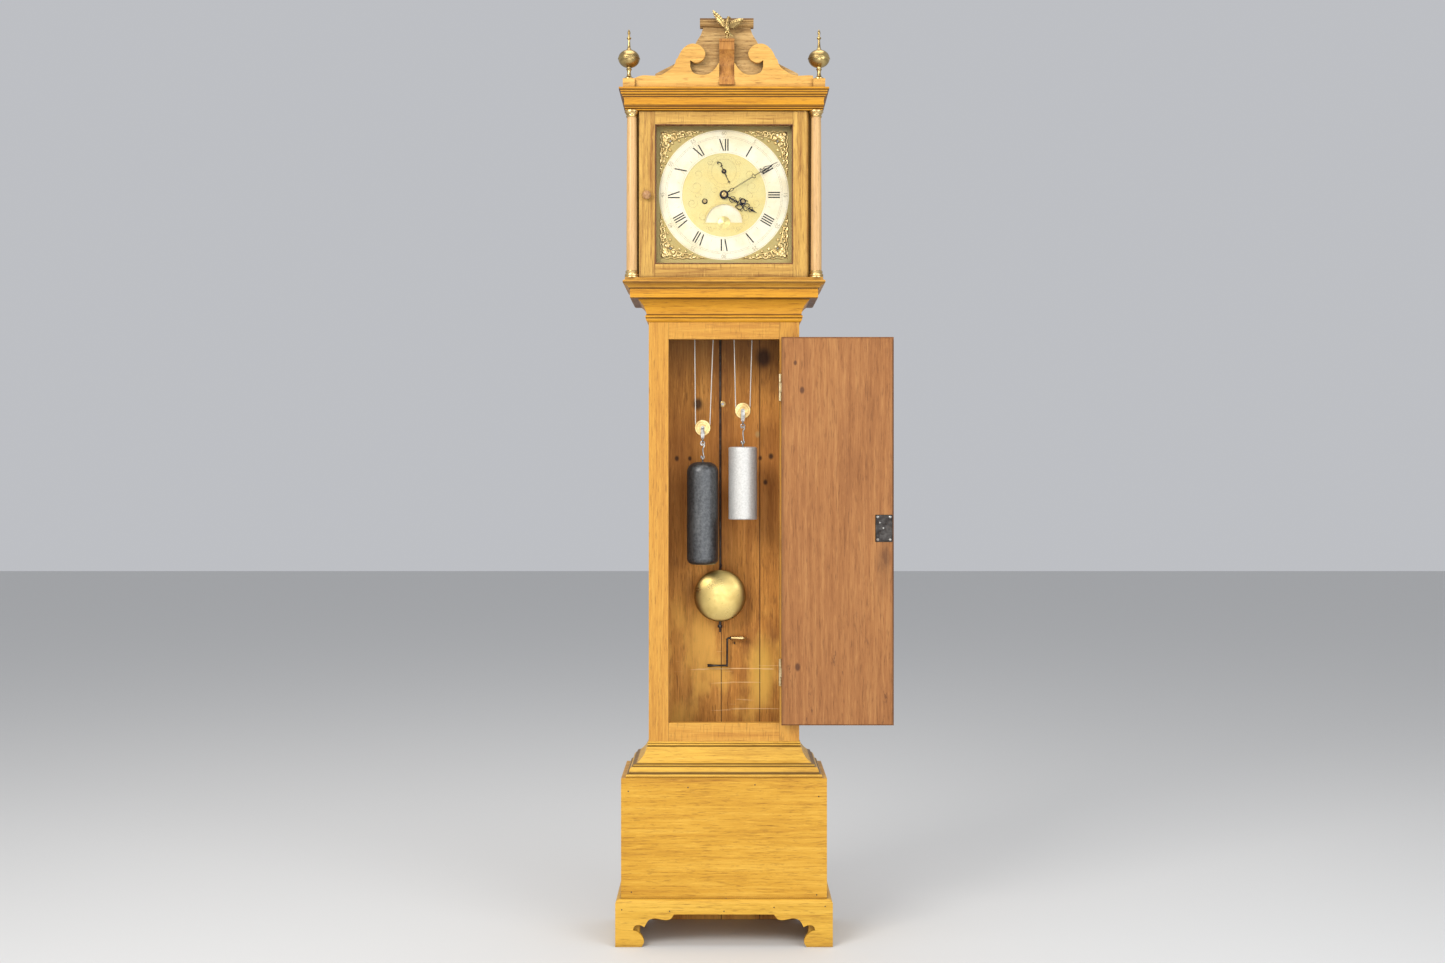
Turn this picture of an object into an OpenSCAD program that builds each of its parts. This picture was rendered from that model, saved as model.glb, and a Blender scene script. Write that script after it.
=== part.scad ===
// Longcase clock: an oak case whose hood slides off forwards, a trunk door, and a
// weight-driven brass movement with a striking train and a seconds pendulum.
// Frame: X to the right, Y towards the wall (the wall is the plane y = 0), Z up from the floor.
// Moulding profiles are lists of [projection, height] points.

/* [Case] */
// Width of the trunk
trunk_w = 334; // [300:1:420]
// Depth of the trunk, from the wall to its front face
trunk_d = 172; // [165:1:220]
// Height of the trunk above the base
trunk_h = 1072.5; // [1000:0.5:1300]
// Thickness of the side boards
board_t = 14; // [10:0.5:18]
// Thickness of the backboard
back_t = 12; // [8:0.5:16]
// Thickness of the trunk's front frame
frame_t = 18; // [14:0.5:22]
// Width of the trunk's stiles
stile_w = 44; // [36:1:54]
// Height of the trunk's bottom rail, above the base
bottom_rail_h = 113; // [90:1:140]
// Height of the trunk's top rail, below the trunk's top
top_rail_h = 107.5; // [90:0.5:130]

/* [Base] */
// Height of the top of the base
base_h = 365; // [320:1:440]
// How far the base stands out past the trunk, at the front and at each side
base_out = 58; // [50:1:70]
// Height of the plinth
plinth_h = 102.5; // [90:0.5:125]
// How far the plinth stands out past the base
plinth_t = 12; // [8:0.5:16]
// Half width of the flat top of the plinth's arch
arch_half = 109; // [90:1:125]

/* [Trunk door] */
// Gap around the door in its opening
door_gap = 1; // [0.6:0.1:2]
// Thickness of the part of the door that fits in the opening
door_t = 12; // [9:0.5:15]
// Thickness of the lip that covers the frame
lip_t = 5; // [3:0.5:7]
// How far the lip covers the frame
lip_w = 3; // [2:0.5:6]
// Height of one hinge
hinge_h = 60; // [45:1:80]
// Radius of a hinge's knuckle
knuckle_r = 3.5; // [3:0.1:4.5]
// Radius of a hinge's pin
hinge_pin_r = 1.5; // [1.2:0.1:2]

/* [Hood] */
// How far the hood's sides stand out past the trunk
hood_out = 35.5; // [30:0.5:45]
// Height of the hood door
hood_door_h = 363; // [340:1:400]
// Thickness of the hood door
hood_door_t = 20; // [16:0.5:24]
// Thickness of the hood's sides
hood_board_t = 12; // [9:0.5:14]
// Radius of a column
column_r = 12; // [9:0.5:14]
// Gap between the hood door and a column
column_gap = 4.2; // [3:0.1:8]
// Radius of the pivots that the hood door turns on
pivot_r = 2; // [1.5:0.1:3]
// Distance of the crest's centre from the case's centre line
crest_x = 6; // [0:1:12]
// Height of a ball finial
finial_h = 110; // [90:1:130]

/* [Dial] */
// Side of the square dial plate
dial_size = 304.8; // [290:0.1:320]
// Height of the dial's centre above the trunk's top
dial_rise = 209.5; // [205:0.5:215]
// Outer radius of the chapter ring
chapter_r = 143.5; // [138:0.5:146]
// Inner radius of the chapter ring
chapter_in_r = 92.5; // [90:0.5:96]
// Length of the minute hand from its centre
minute_len = 138; // [120:1:140]
// Length of the hour hand from its centre
hour_len = 83; // [70:1:90]

/* [Movement] */
// Distance of each barrel arbor from the centre line
barrel_x = 42.5; // [40:0.5:46]
// Radius of a barrel
barrel_r = 25; // [20:0.5:27]
// Radius of the barrel arbors
barrel_arbor_r = 4; // [3:0.1:5]
// Radius of the other arbors
arbor_r = 1.5; // [1.2:0.1:1.8]
// Thickness of the brass plates
plate_t = 3; // [2:0.1:4]
// Length of the pendulum, from its suspension to the middle of the bob
pendulum_len = 979; // [930:1:1000]
// Diameter of the pendulum bob
bob_d = 119; // [95:1:130]
// Radius of the groove that a line runs in, on a pulley
groove_r = 14.7; // [12:0.1:16]
// Radius of the going weight
going_weight_r = 32.3; // [28:0.1:34]
// Radius of the strike weight
strike_weight_r = 35.6; // [30:0.1:36]

/* [Hidden] */
$fn = 48;

// Clearances
face_gap = 0.5;
run_gap = 0.05;
curve_gap = 0.3;
eps = 0.01;

// Case
trunk_half = trunk_w / 2;
trunk_top = base_h + trunk_h;
base_w = trunk_w + 2 * base_out;
base_d = trunk_d + base_out;
opening_half = trunk_half - stile_w;
opening_z = [base_h + bottom_rail_h, trunk_top - top_rail_h];
trunk_foot = base_h - 15;
cheek_top = trunk_top + 97.5;
seat_t = 20;
seat_top = cheek_top + seat_t;
seat_y = [-trunk_d + 22, -20];
fixing_hole = [-3, trunk_top - 244.5];
fixing_hole_r = 3;
key_nail_at = [24, base_h + 276];

// Trunk door, which stands open: it is drawn shut and then turned about its hinges
hinge_axis = [opening_half + 1.5, -trunk_d - 9];
hinge_zs = [opening_z[0] + 113, opening_z[1] - 108];
leaf_t = 2;
leaf_w = 21;
lock_z = opening_z[0] + 432.5;
lock_h = 60;
lock_w = 38;
bolt_throw = 7;

// Dial and movement
dial_z = trunk_top + dial_rise;
dial_y = -trunk_d - 15;
dial_t = 2;
ring_t = 1.5;
front_plate_y = dial_y + 37;
back_plate_y = front_plate_y + 70;
line_y = front_plate_y + 37;
plate_half = 80;
plate_z = [seat_top, dial_z + 95];
barrel_z = dial_z - 14;
escape_z = dial_z + 52;
date_z = dial_z - 61;
date_r = 41;
pendulum_x = -9;
pallet_z = dial_z + 84;
pendulum_y = back_plate_y + 28;
minute_turn = 58.6;
hour_turn = 119;
seconds_turn = 155;

// Trains: the module of each pair follows from the distance between its arbors
great_teeth = 96;
centre_leaves = 8;
centre_teeth = 60;
third_leaves = 8;
third_teeth = 56;
escape_leaves = 7;
escape_teeth = 30;
motion_teeth = 36;
motion_leaves = 6;
hour_teeth = 72;
strike_teeth = 84;
pin_leaves = 8;
going_at = [barrel_x, barrel_z];
strike_at = [-barrel_x, barrel_z];
centre_at = [0, dial_z];
third_at = [10, dial_z + 29];
escape_at = [0, escape_z];
minute_at = [0, dial_z - 28.8];
pin_at = [-barrel_x, barrel_z + 37];
pallet_at = [pendulum_x, pallet_z];
hammer_at = [-barrel_x - 28, dial_z + 43];
bell_at = [-10, dial_z + 118];
great_m = 2 * norm(going_at - centre_at) / (great_teeth + centre_leaves);
centre_m = 2 * norm(third_at - centre_at) / (centre_teeth + third_leaves);
third_m = 2 * norm(escape_at - third_at) / (third_teeth + escape_leaves);
motion_m = norm(minute_at - centre_at) / motion_teeth;
hour_m = 2 * norm(minute_at - centre_at) / (hour_teeth + motion_leaves);
strike_m = 2 * norm(pin_at - strike_at) / (strike_teeth + pin_leaves);
great_y = front_plate_y + 8;
great_t = 2.5;
wheel_t = 1.8;
centre_wheel_y = back_plate_y - 7;
third_wheel_y = front_plate_y + 25;
pin_wheel_y = back_plate_y - 4.5;
pin_len = 6;
escape_wheel_y = back_plate_y - 22;
motion_y = front_plate_y - 6;
barrel_y = [great_y + great_t + 1.5, back_plate_y - 13];
cannon_r = 3;
hour_pipe_r = 5;
hour_hand_y = dial_y - 6;
minute_hand_y = dial_y - 10;
seconds_hand_y = dial_y - 3.2;
hand_t = 1.2;

// Lines: strands at [x, z] measured from each barrel arbor, chosen by hand
line_r = 1;
wrap_r = groove_r + line_r + curve_gap;
leave_x = -barrel_r - line_r - curve_gap;
going_pulley_at = going_at + [0, -459.5];
strike_pulley_at = strike_at + [-5.5, -498.5];
going_fixed_x = 26.5;
strike_fixed_x = 25.5;
pulley_r = 18;
pulley_t = 7;
strap_t = 1.5;
strap_w = 8;
going_weight_z = [going_pulley_at[1] - 245.5, going_pulley_at[1] - 82];
strike_weight_z = [strike_pulley_at[1] - 308, strike_pulley_at[1] - 77];

// Hood
hood_half = trunk_half + hood_out;
hood_d = trunk_d + hood_out;
hood_z = trunk_top + face_gap;
hood_floor_t = 23.3;
hood_floor_top = hood_z + hood_floor_t;
hood_door_gap = 1.5;
hood_door_z = [hood_floor_top + hood_door_gap, hood_floor_top + hood_door_gap + hood_door_h];
cornice_z = hood_door_z[1] + hood_door_gap;
cornice_h = 48;
cornice_top = cornice_z + cornice_h;
hood_inner = hood_half - hood_board_t;
mask_y = [dial_y - 5, dial_y - 1];
mask_size = dial_size - 4.8;
hood_door_half = hood_half - column_r - column_gap;
hood_door_y = [-hood_d - 6.5, -hood_d - 6.5 + hood_door_t];
brass_r = column_r + column_gap - face_gap;
column_y = hood_door_y[1] + face_gap - brass_r - curve_gap;
sight_w = dial_size - 1.8;
sight_h = dial_size + 2.2;
sight_z = hood_door_z[0] + hood_door_h / 2;
rebate = 5;
bead_t = 7.5;
glass_t = 2.5;
pivot_end_r = 10;
pivot_at = [hood_door_half - pivot_end_r, hood_door_y[0] + hood_door_t / 2];
// The door's front corner by its hinges is rounded so that it clears the column's brasses as it turns
swing_room = norm([hood_half, column_y] - pivot_at) - brass_r - face_gap;
hinge_corner_r = min(pivot_end_r - 0.5, max(1, (pivot_end_r * sqrt(2) - swing_room) / (sqrt(2) - 1)));
pivot_plate_t = 1.2;
pivot_len = 6;
block_w = 26;
block_h = 21;
block_x = hood_half + 6;
block_y = -hood_d - 4;
fret_t = 12;
fret_y = -hood_d - 9.5;
tablet_y = -hood_d + 10.5;
tablet_top = cornice_top + 139;
column_z = [hood_floor_top, cornice_z];
column_foot_h = 15.5;
column_head_h = 14.5;
corbel_top = cornice_top + 106;
corbel_half = 16.5;
corbel_foot = 8;

// ---- Shapes used throughout ----

// Block between two corners, given as [from, to] along each axis
module block(x, y, z) {
    translate([x[0], y[0], z[0]]) cube([x[1] - x[0], y[1] - y[0], z[1] - z[0]]);
}

// The same block on the left and the right
module block_pair(x, y, z) {
    for (side = [0, 1]) mirror([side, 0, 0]) block(x, y, z);
}

// A flat shape, drawn as seen from the front, made thick along Y
module plate(y, t) {
    translate([0, y + t, 0]) rotate([90, 0, 0]) linear_extrude(t) children();
}

// A round bar along Y
module bar_y(at, y, r) {
    translate([at[0], y[1], at[1]]) rotate([90, 0, 0]) cylinder(r = r, h = y[1] - y[0]);
}

// A round bar along Z
module bar_z(at, z, r) {
    translate([at[0], at[1], z[0]]) cylinder(r = r, h = z[1] - z[0]);
}

// A turned shape standing on z = 0, from points [radius, height]
module turned(points) {
    rotate_extrude($fn = 64) polygon(concat([[0, points[0][1]]], points, [[0, points[len(points) - 1][1]]]));
}

function polar(r, a) = [r * cos(a), r * sin(a)];
function heading(from, to) = atan2(to[1] - from[1], to[0] - from[0]);

// Points on a round curve from a to b that bows out by rise, to the left when rise is positive
function bow(a, b, rise, steps = 6) =
    let (chord = norm(b - a),
         along = (b - a) / chord,
         left = [-along[1], along[0]],
         radius = (chord * chord / 4 + rise * rise) / (2 * abs(rise)),
         half = asin(min(1, chord / 2 / radius)),
         way = sign(rise),
         middle = (a + b) / 2 + left * (rise - way * radius))
    [for (i = [0:steps])
        let (t = -half + 2 * half * i / steps)
        middle + along * radius * sin(t) + left * way * radius * cos(t)];

// Points on a smooth curve through the given points
function smooth(p, steps = 4) =
    concat([for (i = [0:len(p) - 2]) for (k = [0:steps - 1])
        let (a = p[max(i - 1, 0)], b = p[i], c = p[i + 1], d = p[min(i + 2, len(p) - 1)], t = k / steps)
        0.5 * (2 * b + (c - a) * t + (2 * a - 5 * b + 4 * c - d) * t * t
            + (3 * b - a - 3 * c + d) * t * t * t)],
        [p[len(p) - 1]]);

// A flat shape given by the points of its right side, from the foot up
module both_sides(p) {
    polygon(concat(p, flipped(p)));
}

function flipped(p) = [for (i = [len(p) - 1:-1:0]) [-p[i][0], p[i][1]]];
function shifted(p, by) = [for (q = p) q + by];

// Moulding that runs along the front and both sides of a box, mitred at its front corners
module moulding(profile, half, depth) {
    reach = max([for (q = profile) q[0]]) + 1;
    back = min([for (q = profile) q[0]]) - 1;
    low = min([for (q = profile) q[1]]) - 1;
    high = max([for (q = profile) q[1]]) + 1;
    intersection() {
        rotate([90, 0, 90]) linear_extrude(2 * (half + reach), center = true)
            polygon([for (q = profile) [-depth - q[0], q[1]]]);
        translate([0, 0, low]) linear_extrude(high - low)
            polygon([[-half - reach, -depth - reach], [half + reach, -depth - reach],
                [half + back, -depth - back], [-half - back, -depth - back]]);
    }
    for (side = [0, 1]) mirror([side, 0, 0]) intersection() {
        rotate([90, 0, 0]) linear_extrude(depth + reach)
            polygon([for (q = profile) [half + q[0], q[1]]]);
        translate([0, 0, low]) linear_extrude(high - low)
            polygon([[half + reach, -depth - reach], [half + reach, 1],
                [half + back, 1], [half + back, -depth - back]]);
    }
}

// Outline of a toothed wheel, with one tooth centred at the angle first
module toothed(teeth, m, first, share = 0.36, tip = 0.85, root = 1.25) {
    pitch = 360 / teeth;
    r = m * teeth / 2;
    polygon([for (i = [0:teeth - 1]) for (q = [[-0.68, -root], [-0.24, tip], [0.24, tip], [0.68, -root]])
        polar(r + q[1] * m, first + pitch * (i + q[0] * share))]);
}

// A toothed wheel with a rim, four crossings and a hub, and a bore where one is given
module crossed_wheel(at, y, t, teeth, m, first, hub = 6, bore = 0, crossings = 4) {
    r = m * teeth / 2;
    plate(y, t) translate(at) difference() {
        toothed(teeth, m, first);
        difference() {
            circle(r = r - 4.2 * m);
            circle(r = hub);
            for (i = [0:crossings - 1]) rotate(first + i * 360 / crossings)
                translate([0, -hub * 0.27]) square([r, hub * 0.54]);
        }
        if (bore > 0) circle(r = bore);
    }
}

// A tube with eight sides along a route of [x, z] points in the plane y
module line_tube(route, y, r) {
    count = len(route);
    ring = [for (k = [0:7]) polar(r, 45 * k + 22.5)];
    function way(i) = route[min(i + 1, count - 1)] - route[max(i - 1, 0)];
    points = [for (i = [0:count - 1])
        let (side = [way(i)[1], -way(i)[0]] / norm(way(i)))
        for (q = ring) [route[i][0] + side[0] * q[0], y + q[1], route[i][1] + side[1] * q[0]]];
    sides = [for (i = [0:count - 2]) for (k = [0:7])
        [8 * i + k, 8 * i + (k + 1) % 8, 8 * i + 8 + (k + 1) % 8, 8 * i + 8 + k]];
    polyhedron(points, concat([[for (k = [7:-1:0]) k]], sides,
        [[for (k = [0:7]) 8 * (count - 1) + k]]), convexity = 8);
}

// ---- Case ----

module backboard() {
    color("saddlebrown") difference() {
        block([-trunk_half, trunk_half], [-back_t, 0], [0, cornice_z - 4]);
        bar_y(fixing_hole, [-back_t - 1, 1], fixing_hole_r);
    }
}

// Sides of the trunk, and the strips that widen the backboard behind the hood
module trunk_sides() {
    color("sienna") {
        block_pair([trunk_half - board_t, trunk_half], [-trunk_d + frame_t, -back_t], [trunk_foot,
            cheek_top]);
        block_pair([trunk_half, hood_inner - 2], [-back_t, 0], [hood_floor_top + 1, cornice_z - 4]);
    }
}

module trunk_frame() {
    color("goldenrod") difference() {
        block([-trunk_half, trunk_half], [-trunk_d, -trunk_d + frame_t], [trunk_foot, trunk_top]);
        block([-opening_half, opening_half], [-trunk_d - 1, -trunk_d + frame_t + 1], opening_z);
        block([-opening_half - bolt_throw - 4, -opening_half + 1], [-trunk_d + 4, -trunk_d + 11],
            [lock_z - 8, lock_z + 8]);
    }
}

// Throat moulding, which carries the hood
function throat_profile() = concat(
    bow([0, -70.5], [6.5, -61.5], -2),
    bow([5.6, -61], [5.6, -55], -2.2),
    bow([4.8, -54], [23.8, -20.7], 4, 8),
    [[36.5, -20.7], [39.6, -19.5], [39.6, 0], [0, 0]]);

module throat_moulding() {
    color("peru") moulding(shifted(throat_profile(), [0, trunk_top]), trunk_half, trunk_d);
}

module base_panels() {
    panel_z = [plinth_h - 20, base_h];
    color("goldenrod") {
        block([-base_w / 2, base_w / 2], [-base_d, -base_d + board_t], panel_z);
        block_pair([base_w / 2 - board_t, base_w / 2], [-base_d + board_t, 0], panel_z);
        block([-base_w / 2 + board_t, base_w / 2 - board_t], [-base_d + board_t, -back_t],
            [panel_z[0], panel_z[0] + board_t]);
        // Strips that close the back beside the backboard
        block_pair([trunk_half, base_w / 2 - board_t + eps], [-back_t, 0], panel_z);
    }
}

// Base moulding, which covers the step from the trunk out to the base
function base_profile() = concat(
    [[0, 0]],
    bow([48.5, 0], [44.4, 7.5], -1.8),
    [[42.4, 7.5], [42.4, 9.8]],
    bow([41.3, 10.9], [33.4, 22.1], -2.5),
    [[32.5, 22.1], [32.5, 26.5]],
    bow([25.4, 28.2], [4.4, 60.4], 4, 8),
    [[1.2, 61.8]],
    bow([1.2, 62.3], [1.2, 67], -2.2),
    bow([0.6, 67.3], [0.6, 71.5], -1.8),
    [[0, 72]]);

module base_moulding() {
    color("peru") moulding(shifted(base_profile(), [0, base_h]), trunk_half, trunk_d);
}

// Inner edge of the plinth's left foot, from the floor to the top of the arch.
// Each point is [distance out past the arch's flat top, height].
function foot_edge() = concat(
    smooth([[70.7, 0], [65.4, 10], [69.3, 22.5], [79.1, 32.5], [89.2, 36.2]]),
    smooth([[88, 42.5], [83, 46.9], [74.1, 47.5], [64.3, 43.2]]),
    smooth([[60.4, 51.2], [54.3, 58.8], [41.7, 62.5], [29.3, 60.1], [16.7, 58.6], [8, 60.6],
        [2.9, 66.2], [0, 70.8]]));

module plinth() {
    foot = [for (q = foot_edge()) [-arch_half - q[0], q[1]]];
    color("goldenrod") {
        difference() {
            moulding(concat([[0, 0], [plinth_t, 0]], bow([plinth_t, plinth_h - 8], [1.5, plinth_h], -2.5),
                [[0, plinth_h]]), base_w / 2, base_d);
            plate(-base_d - plinth_t - 1, plinth_t + 2)
                polygon(concat([[foot[0][0], -1]], foot, flipped(foot), [[-foot[0][0], -1]]));
        }
        // Corner blocks glued inside, which carry the base
        for (y = [-base_d, -back_t - 42]) block_pair([base_w / 2 - 40, base_w / 2], [y, y + 40],
            [0, plinth_h - 20]);
    }
}

module seatboard() {
    color("sienna") difference() {
        block([-trunk_half, trunk_half], seat_y, [cheek_top, seat_top]);
        for (at = [going_at, strike_at])
            block([at[0] + leave_x - 5, at[0] + leave_x + 10], [line_y - 26, line_y + 26],
                [cheek_top - 1, seat_top + 1]);
        block([pendulum_x - 30, pendulum_x + 30], [back_plate_y + 5, 0], [cheek_top - 1, seat_top + 1]);
    }
}

// Knuckles of one hinge: leaves of the case take the ends, and the door's leaf the middle
module knuckles(z, parts) {
    third = hinge_h / 3;
    for (k = parts) bar_z(hinge_axis, [z - hinge_h / 2 + third * k + 0.25,
        z - hinge_h / 2 + third * (k + 1) - 0.25], knuckle_r);
}

module case_hinge_leaves() {
    third = hinge_h / 3;
    color("darkslategray") for (z = hinge_zs) {
        block([hinge_axis[0] + 2.5, hinge_axis[0] + 2.5 + leaf_w], [-trunk_d - leaf_t, -trunk_d],
            [z - hinge_h / 2, z + hinge_h / 2]);
        difference() {
            union() {
                knuckles(z, [0, 2]);
                for (k = [0, 2]) block([hinge_axis[0] - 1, hinge_axis[0] + 3], [hinge_axis[1] + 2.5,
                    -trunk_d],
                    [z - hinge_h / 2 + third * k + 0.25, z - hinge_h / 2 + third * (k + 1) - 0.25]);
            }
            bar_z(hinge_axis, [z - third / 2 - 1, z + third / 2 + 1], knuckle_r + curve_gap);
        }
        bar_z(hinge_axis, [z - hinge_h / 2 + 1, z + hinge_h / 2 - 1], hinge_pin_r);
    }
}

module key_nail() {
    color("dimgray") bar_y(key_nail_at, [-38, -back_t], 1.6);
}

// ---- Trunk door ----

// Turns a shape that is drawn with the door shut to where the door stands open
module opened() {
    translate([hinge_axis[0], hinge_axis[1], 0]) rotate([0, 0, 180])
        translate([-hinge_axis[0], -hinge_axis[1], 0]) children();
}

module trunk_door() {
    inner = [-opening_half + door_gap, opening_half - door_gap];
    z = [opening_z[0] + door_gap, opening_z[1] - door_gap];
    color("chocolate") opened() difference() {
        union() {
            block(inner, [-trunk_d - eps, -trunk_d + door_t], z);
            block([-opening_half - lip_w, inner[1]], [-trunk_d - lip_t, -trunk_d - face_gap / 2],
                [opening_z[0] - lip_w, opening_z[1] + lip_w]);
            block(inner, [-trunk_d - 1, -trunk_d + 1], z);
        }
        // Mortise for the lock
        block([inner[0] - 1, inner[0] + lock_w], [-trunk_d + door_t - 8, -trunk_d + door_t + 1],
            [lock_z - lock_h / 2, lock_z + lock_h / 2]);
        for (z = hinge_zs) block([hinge_axis[0] - 4.5, hinge_axis[0] + 1], [-trunk_d - lip_t - 1,
            -trunk_d + 1],
            [z - hinge_h / 2 - 1, z + hinge_h / 2 + 1]);
    }
}

module door_hinge_leaves() {
    third = hinge_h / 3;
    color("darkslategray") opened() for (z = hinge_zs) difference() {
        union() {
            knuckles(z, [1]);
            block([hinge_axis[0] - 3.8 - leaf_w, hinge_axis[0] - 4.2], [-trunk_d - lip_t - leaf_t,
                -trunk_d - lip_t],
                [z - hinge_h / 2, z + hinge_h / 2]);
            block([hinge_axis[0] - 5, hinge_axis[0] - 1], [-trunk_d - lip_t - leaf_t, -trunk_d - lip_t],
                [z - third / 2 + 0.25, z + third / 2 - 0.25]);
        }
        bar_z(hinge_axis, [z - hinge_h, z + hinge_h], hinge_pin_r + run_gap);
    }
}

module door_lock() {
    edge = -opening_half + door_gap;
    rear = -trunk_d + door_t;
    color("dimgray") opened() {
        difference() {
            block([edge, edge + lock_w - 1], [rear - 8 + face_gap / 2, rear + 1],
                [lock_z - lock_h / 2 + 0.5, lock_z + lock_h / 2 - 0.5]);
            block([edge - 1, edge + 24], [rear - 6, rear - 1], [lock_z - 6, lock_z + 6]);
        }
        // Escutcheon around the keyhole, on the outside of the door
        plate(-trunk_d - lip_t - 1, 1) translate([edge + 22, lock_z]) difference() {
            polygon(smooth([[0, 22], [8, 12], [13, 0], [8, -12], [0, -22], [-8, -12], [-13, 0], [-8,
                12], [0, 22]]));
            circle(r = 2.5);
            translate([-1, -9]) square([2, 9]);
        }
    }
}

module lock_bolt() {
    edge = -opening_half + door_gap;
    rear = -trunk_d + door_t;
    color("silver") opened() block([edge + 0.5, edge + 16], [rear - 5.6, rear - 1.4], [lock_z - 5.6,
        lock_z + 5.6]);
}

// ---- Hood ----

module hood_carcass() {
    side_y = [hood_door_y[1] + face_gap, 0];
    color("peru") {
        block_pair([hood_inner, hood_half], side_y, [hood_floor_top, cornice_z]);
        difference() {
            block([-hood_inner, hood_inner], mask_y, [hood_floor_top, cornice_z]);
            block([-mask_size / 2, mask_size / 2], [mask_y[0] - 1, mask_y[1] + 1],
                [dial_z - mask_size / 2 - 1.5, dial_z + mask_size / 2 + 1.5]);
        }
        block([-hood_inner, hood_inner], [-hood_d + 12, 0], [cornice_z + 24, cornice_z + 36]);
    }
}

// Moulding around the foot of the hood, which slides on the throat moulding
function hood_floor_profile() = concat(
    [[1 - hood_out, 0]],
    bow([6.4, 0], [14.7, 7.8], 1.5),
    [[14.7, 9]],
    bow([16.5, 9.3], [16.5, 18], -3.1),
    [[14.5, 18.4], [14.5, hood_floor_t], [1 - hood_out, hood_floor_t]]);

module hood_base_moulding() {
    color("peru") difference() {
        moulding(shifted(hood_floor_profile(), [0, hood_z]), hood_half, hood_d);
        bar_z(pivot_at, [hood_floor_top - pivot_len - 1, hood_floor_top + 1], pivot_r + run_gap);
    }
}

// Cornice: two beads, a tall shallow cove, a fillet and an ogee under the top fillet
function cornice_profile() = concat(
    [[-hood_board_t, 0]],
    bow([12.4, 0], [12.9, 3.3], -1.2),
    bow([13.6, 3.5], [14.6, 7], -1.4),
    [[15.5, 7.4], [15.5, 10]],
    bow([16.5, 11.5], [18, 28.5], 1.2),
    [[20, 28.6], [20, 32.6]],
    bow([21.5, 33], [23, 38], -0.8, 4),
    bow([23.2, 38.4], [25.7, 43], 0.8, 4),
    [[27.2, 43.2], [27.2, cornice_h], [-hood_board_t, cornice_h]]);

module hood_cornice() {
    color("peru") difference() {
        moulding(shifted(cornice_profile(), [0, cornice_z]), hood_half, hood_d);
        bar_z(pivot_at, [cornice_z - 1, cornice_z + pivot_len + 1], pivot_r + run_gap);
    }
}

// Top edge of the left half of the fret board: a low wing, a scroll, and the hollow beside the centre.
// Points are measured from the crest's centre and the cornice's top.
function fret_edge() = concat(
    smooth([[-204, 22], [-192, 27.2], [-180.5, 29.1], [-158.5, 28.3], [-142, 31], [-126, 41], [-118, 47.5],
        [-113.5, 55], [-111, 64]]),
    smooth([[-108, 66.5], [-98.5, 84.5], [-86, 95.5], [-73.5, 98.7], [-58, 94], [-47.5, 80], [-50.5, 66.2],
        [-61.5, 58], [-72, 57.5], [-80, 62.5]]),
    smooth([[-80, 48], [-74, 35.4], [-58.5, 30.3], [-40, 32.2], [-25, 44.5], [-18.5, 55.5]]));

module pediment_front() {
    edge = shifted(fret_edge(), [crest_x, cornice_top]);
    other = shifted(flipped(fret_edge()), [crest_x, cornice_top]);
    color("peru") {
        plate(fret_y, fret_t) difference() {
            polygon(concat([[-block_x, cornice_top], [-block_x, cornice_top + 21]], edge,
                other, [[block_x, cornice_top + 21], [block_x, cornice_top]]));
            for (side = [-1, 1]) translate([side * block_x - block_w / 2, cornice_top + block_h])
                square([block_w, finial_h]);
            translate([crest_x - corbel_half, cornice_top + corbel_foot]) square([2 * corbel_half,
                corbel_top]);
        }
        // Corner blocks under the ball finials, and their returns along the sides
        block_pair([block_x - block_w / 2, block_x + block_w / 2], [block_y - block_w / 2,
            block_y + block_w / 2],
            [cornice_top, cornice_top + block_h]);
        block_pair([block_x - 6, block_x + 6], [block_y, -20], [cornice_top, cornice_top + block_h - 4]);
    }
}

// Tall board behind the fret, which carries a moulded cap
function tablet_edge() = concat(
    smooth([[-157.5, 37], [-143, 44.8], [-121.5, 55.5], [-100, 68]]),
    smooth([[-72, 96], [-66.6, 108.2], [-57, 123.8], [-52, 139]]));

module pediment_tablet() {
    edge = shifted(tablet_edge(), [crest_x, cornice_top]);
    other = shifted(flipped(tablet_edge()), [crest_x, cornice_top]);
    color("peru") {
        plate(tablet_y, fret_t) polygon(concat([[crest_x - 157.5, cornice_top]], edge, other,
            [[crest_x + 157.5, cornice_top]]));
        translate([crest_x, 0, tablet_top]) rotate([90, 0, 90]) linear_extrude(118, center = true)
            polygon(concat([[tablet_y - 1, 0]], bow([tablet_y - 4, 2], [tablet_y - 8, 11], 2),
                [[tablet_y - 10, 12], [tablet_y - 10, 18], [tablet_y + fret_t, 18], [tablet_y + fret_t, 0]]));
    }
}

// Bracket in the middle of the fret, drawn from the side as [y, height] and carried by the tablet
function corbel_side() = concat(
    [[0, corbel_foot], [-24, corbel_foot]],
    smooth([[-24, 10], [-20, 24], [-12, 38], [-10, 52], [-17, 68], [-28, 80]]),
    [[-32, 83], [-32, 100], [-34, 101], [-34, 106], [0, 106]]);

module centre_corbel() {
    color("sandybrown") translate([crest_x, tablet_y, cornice_top]) rotate([90, 0, 90])
        linear_extrude(2 * corbel_half, center = true) polygon(corbel_side());
}

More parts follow.
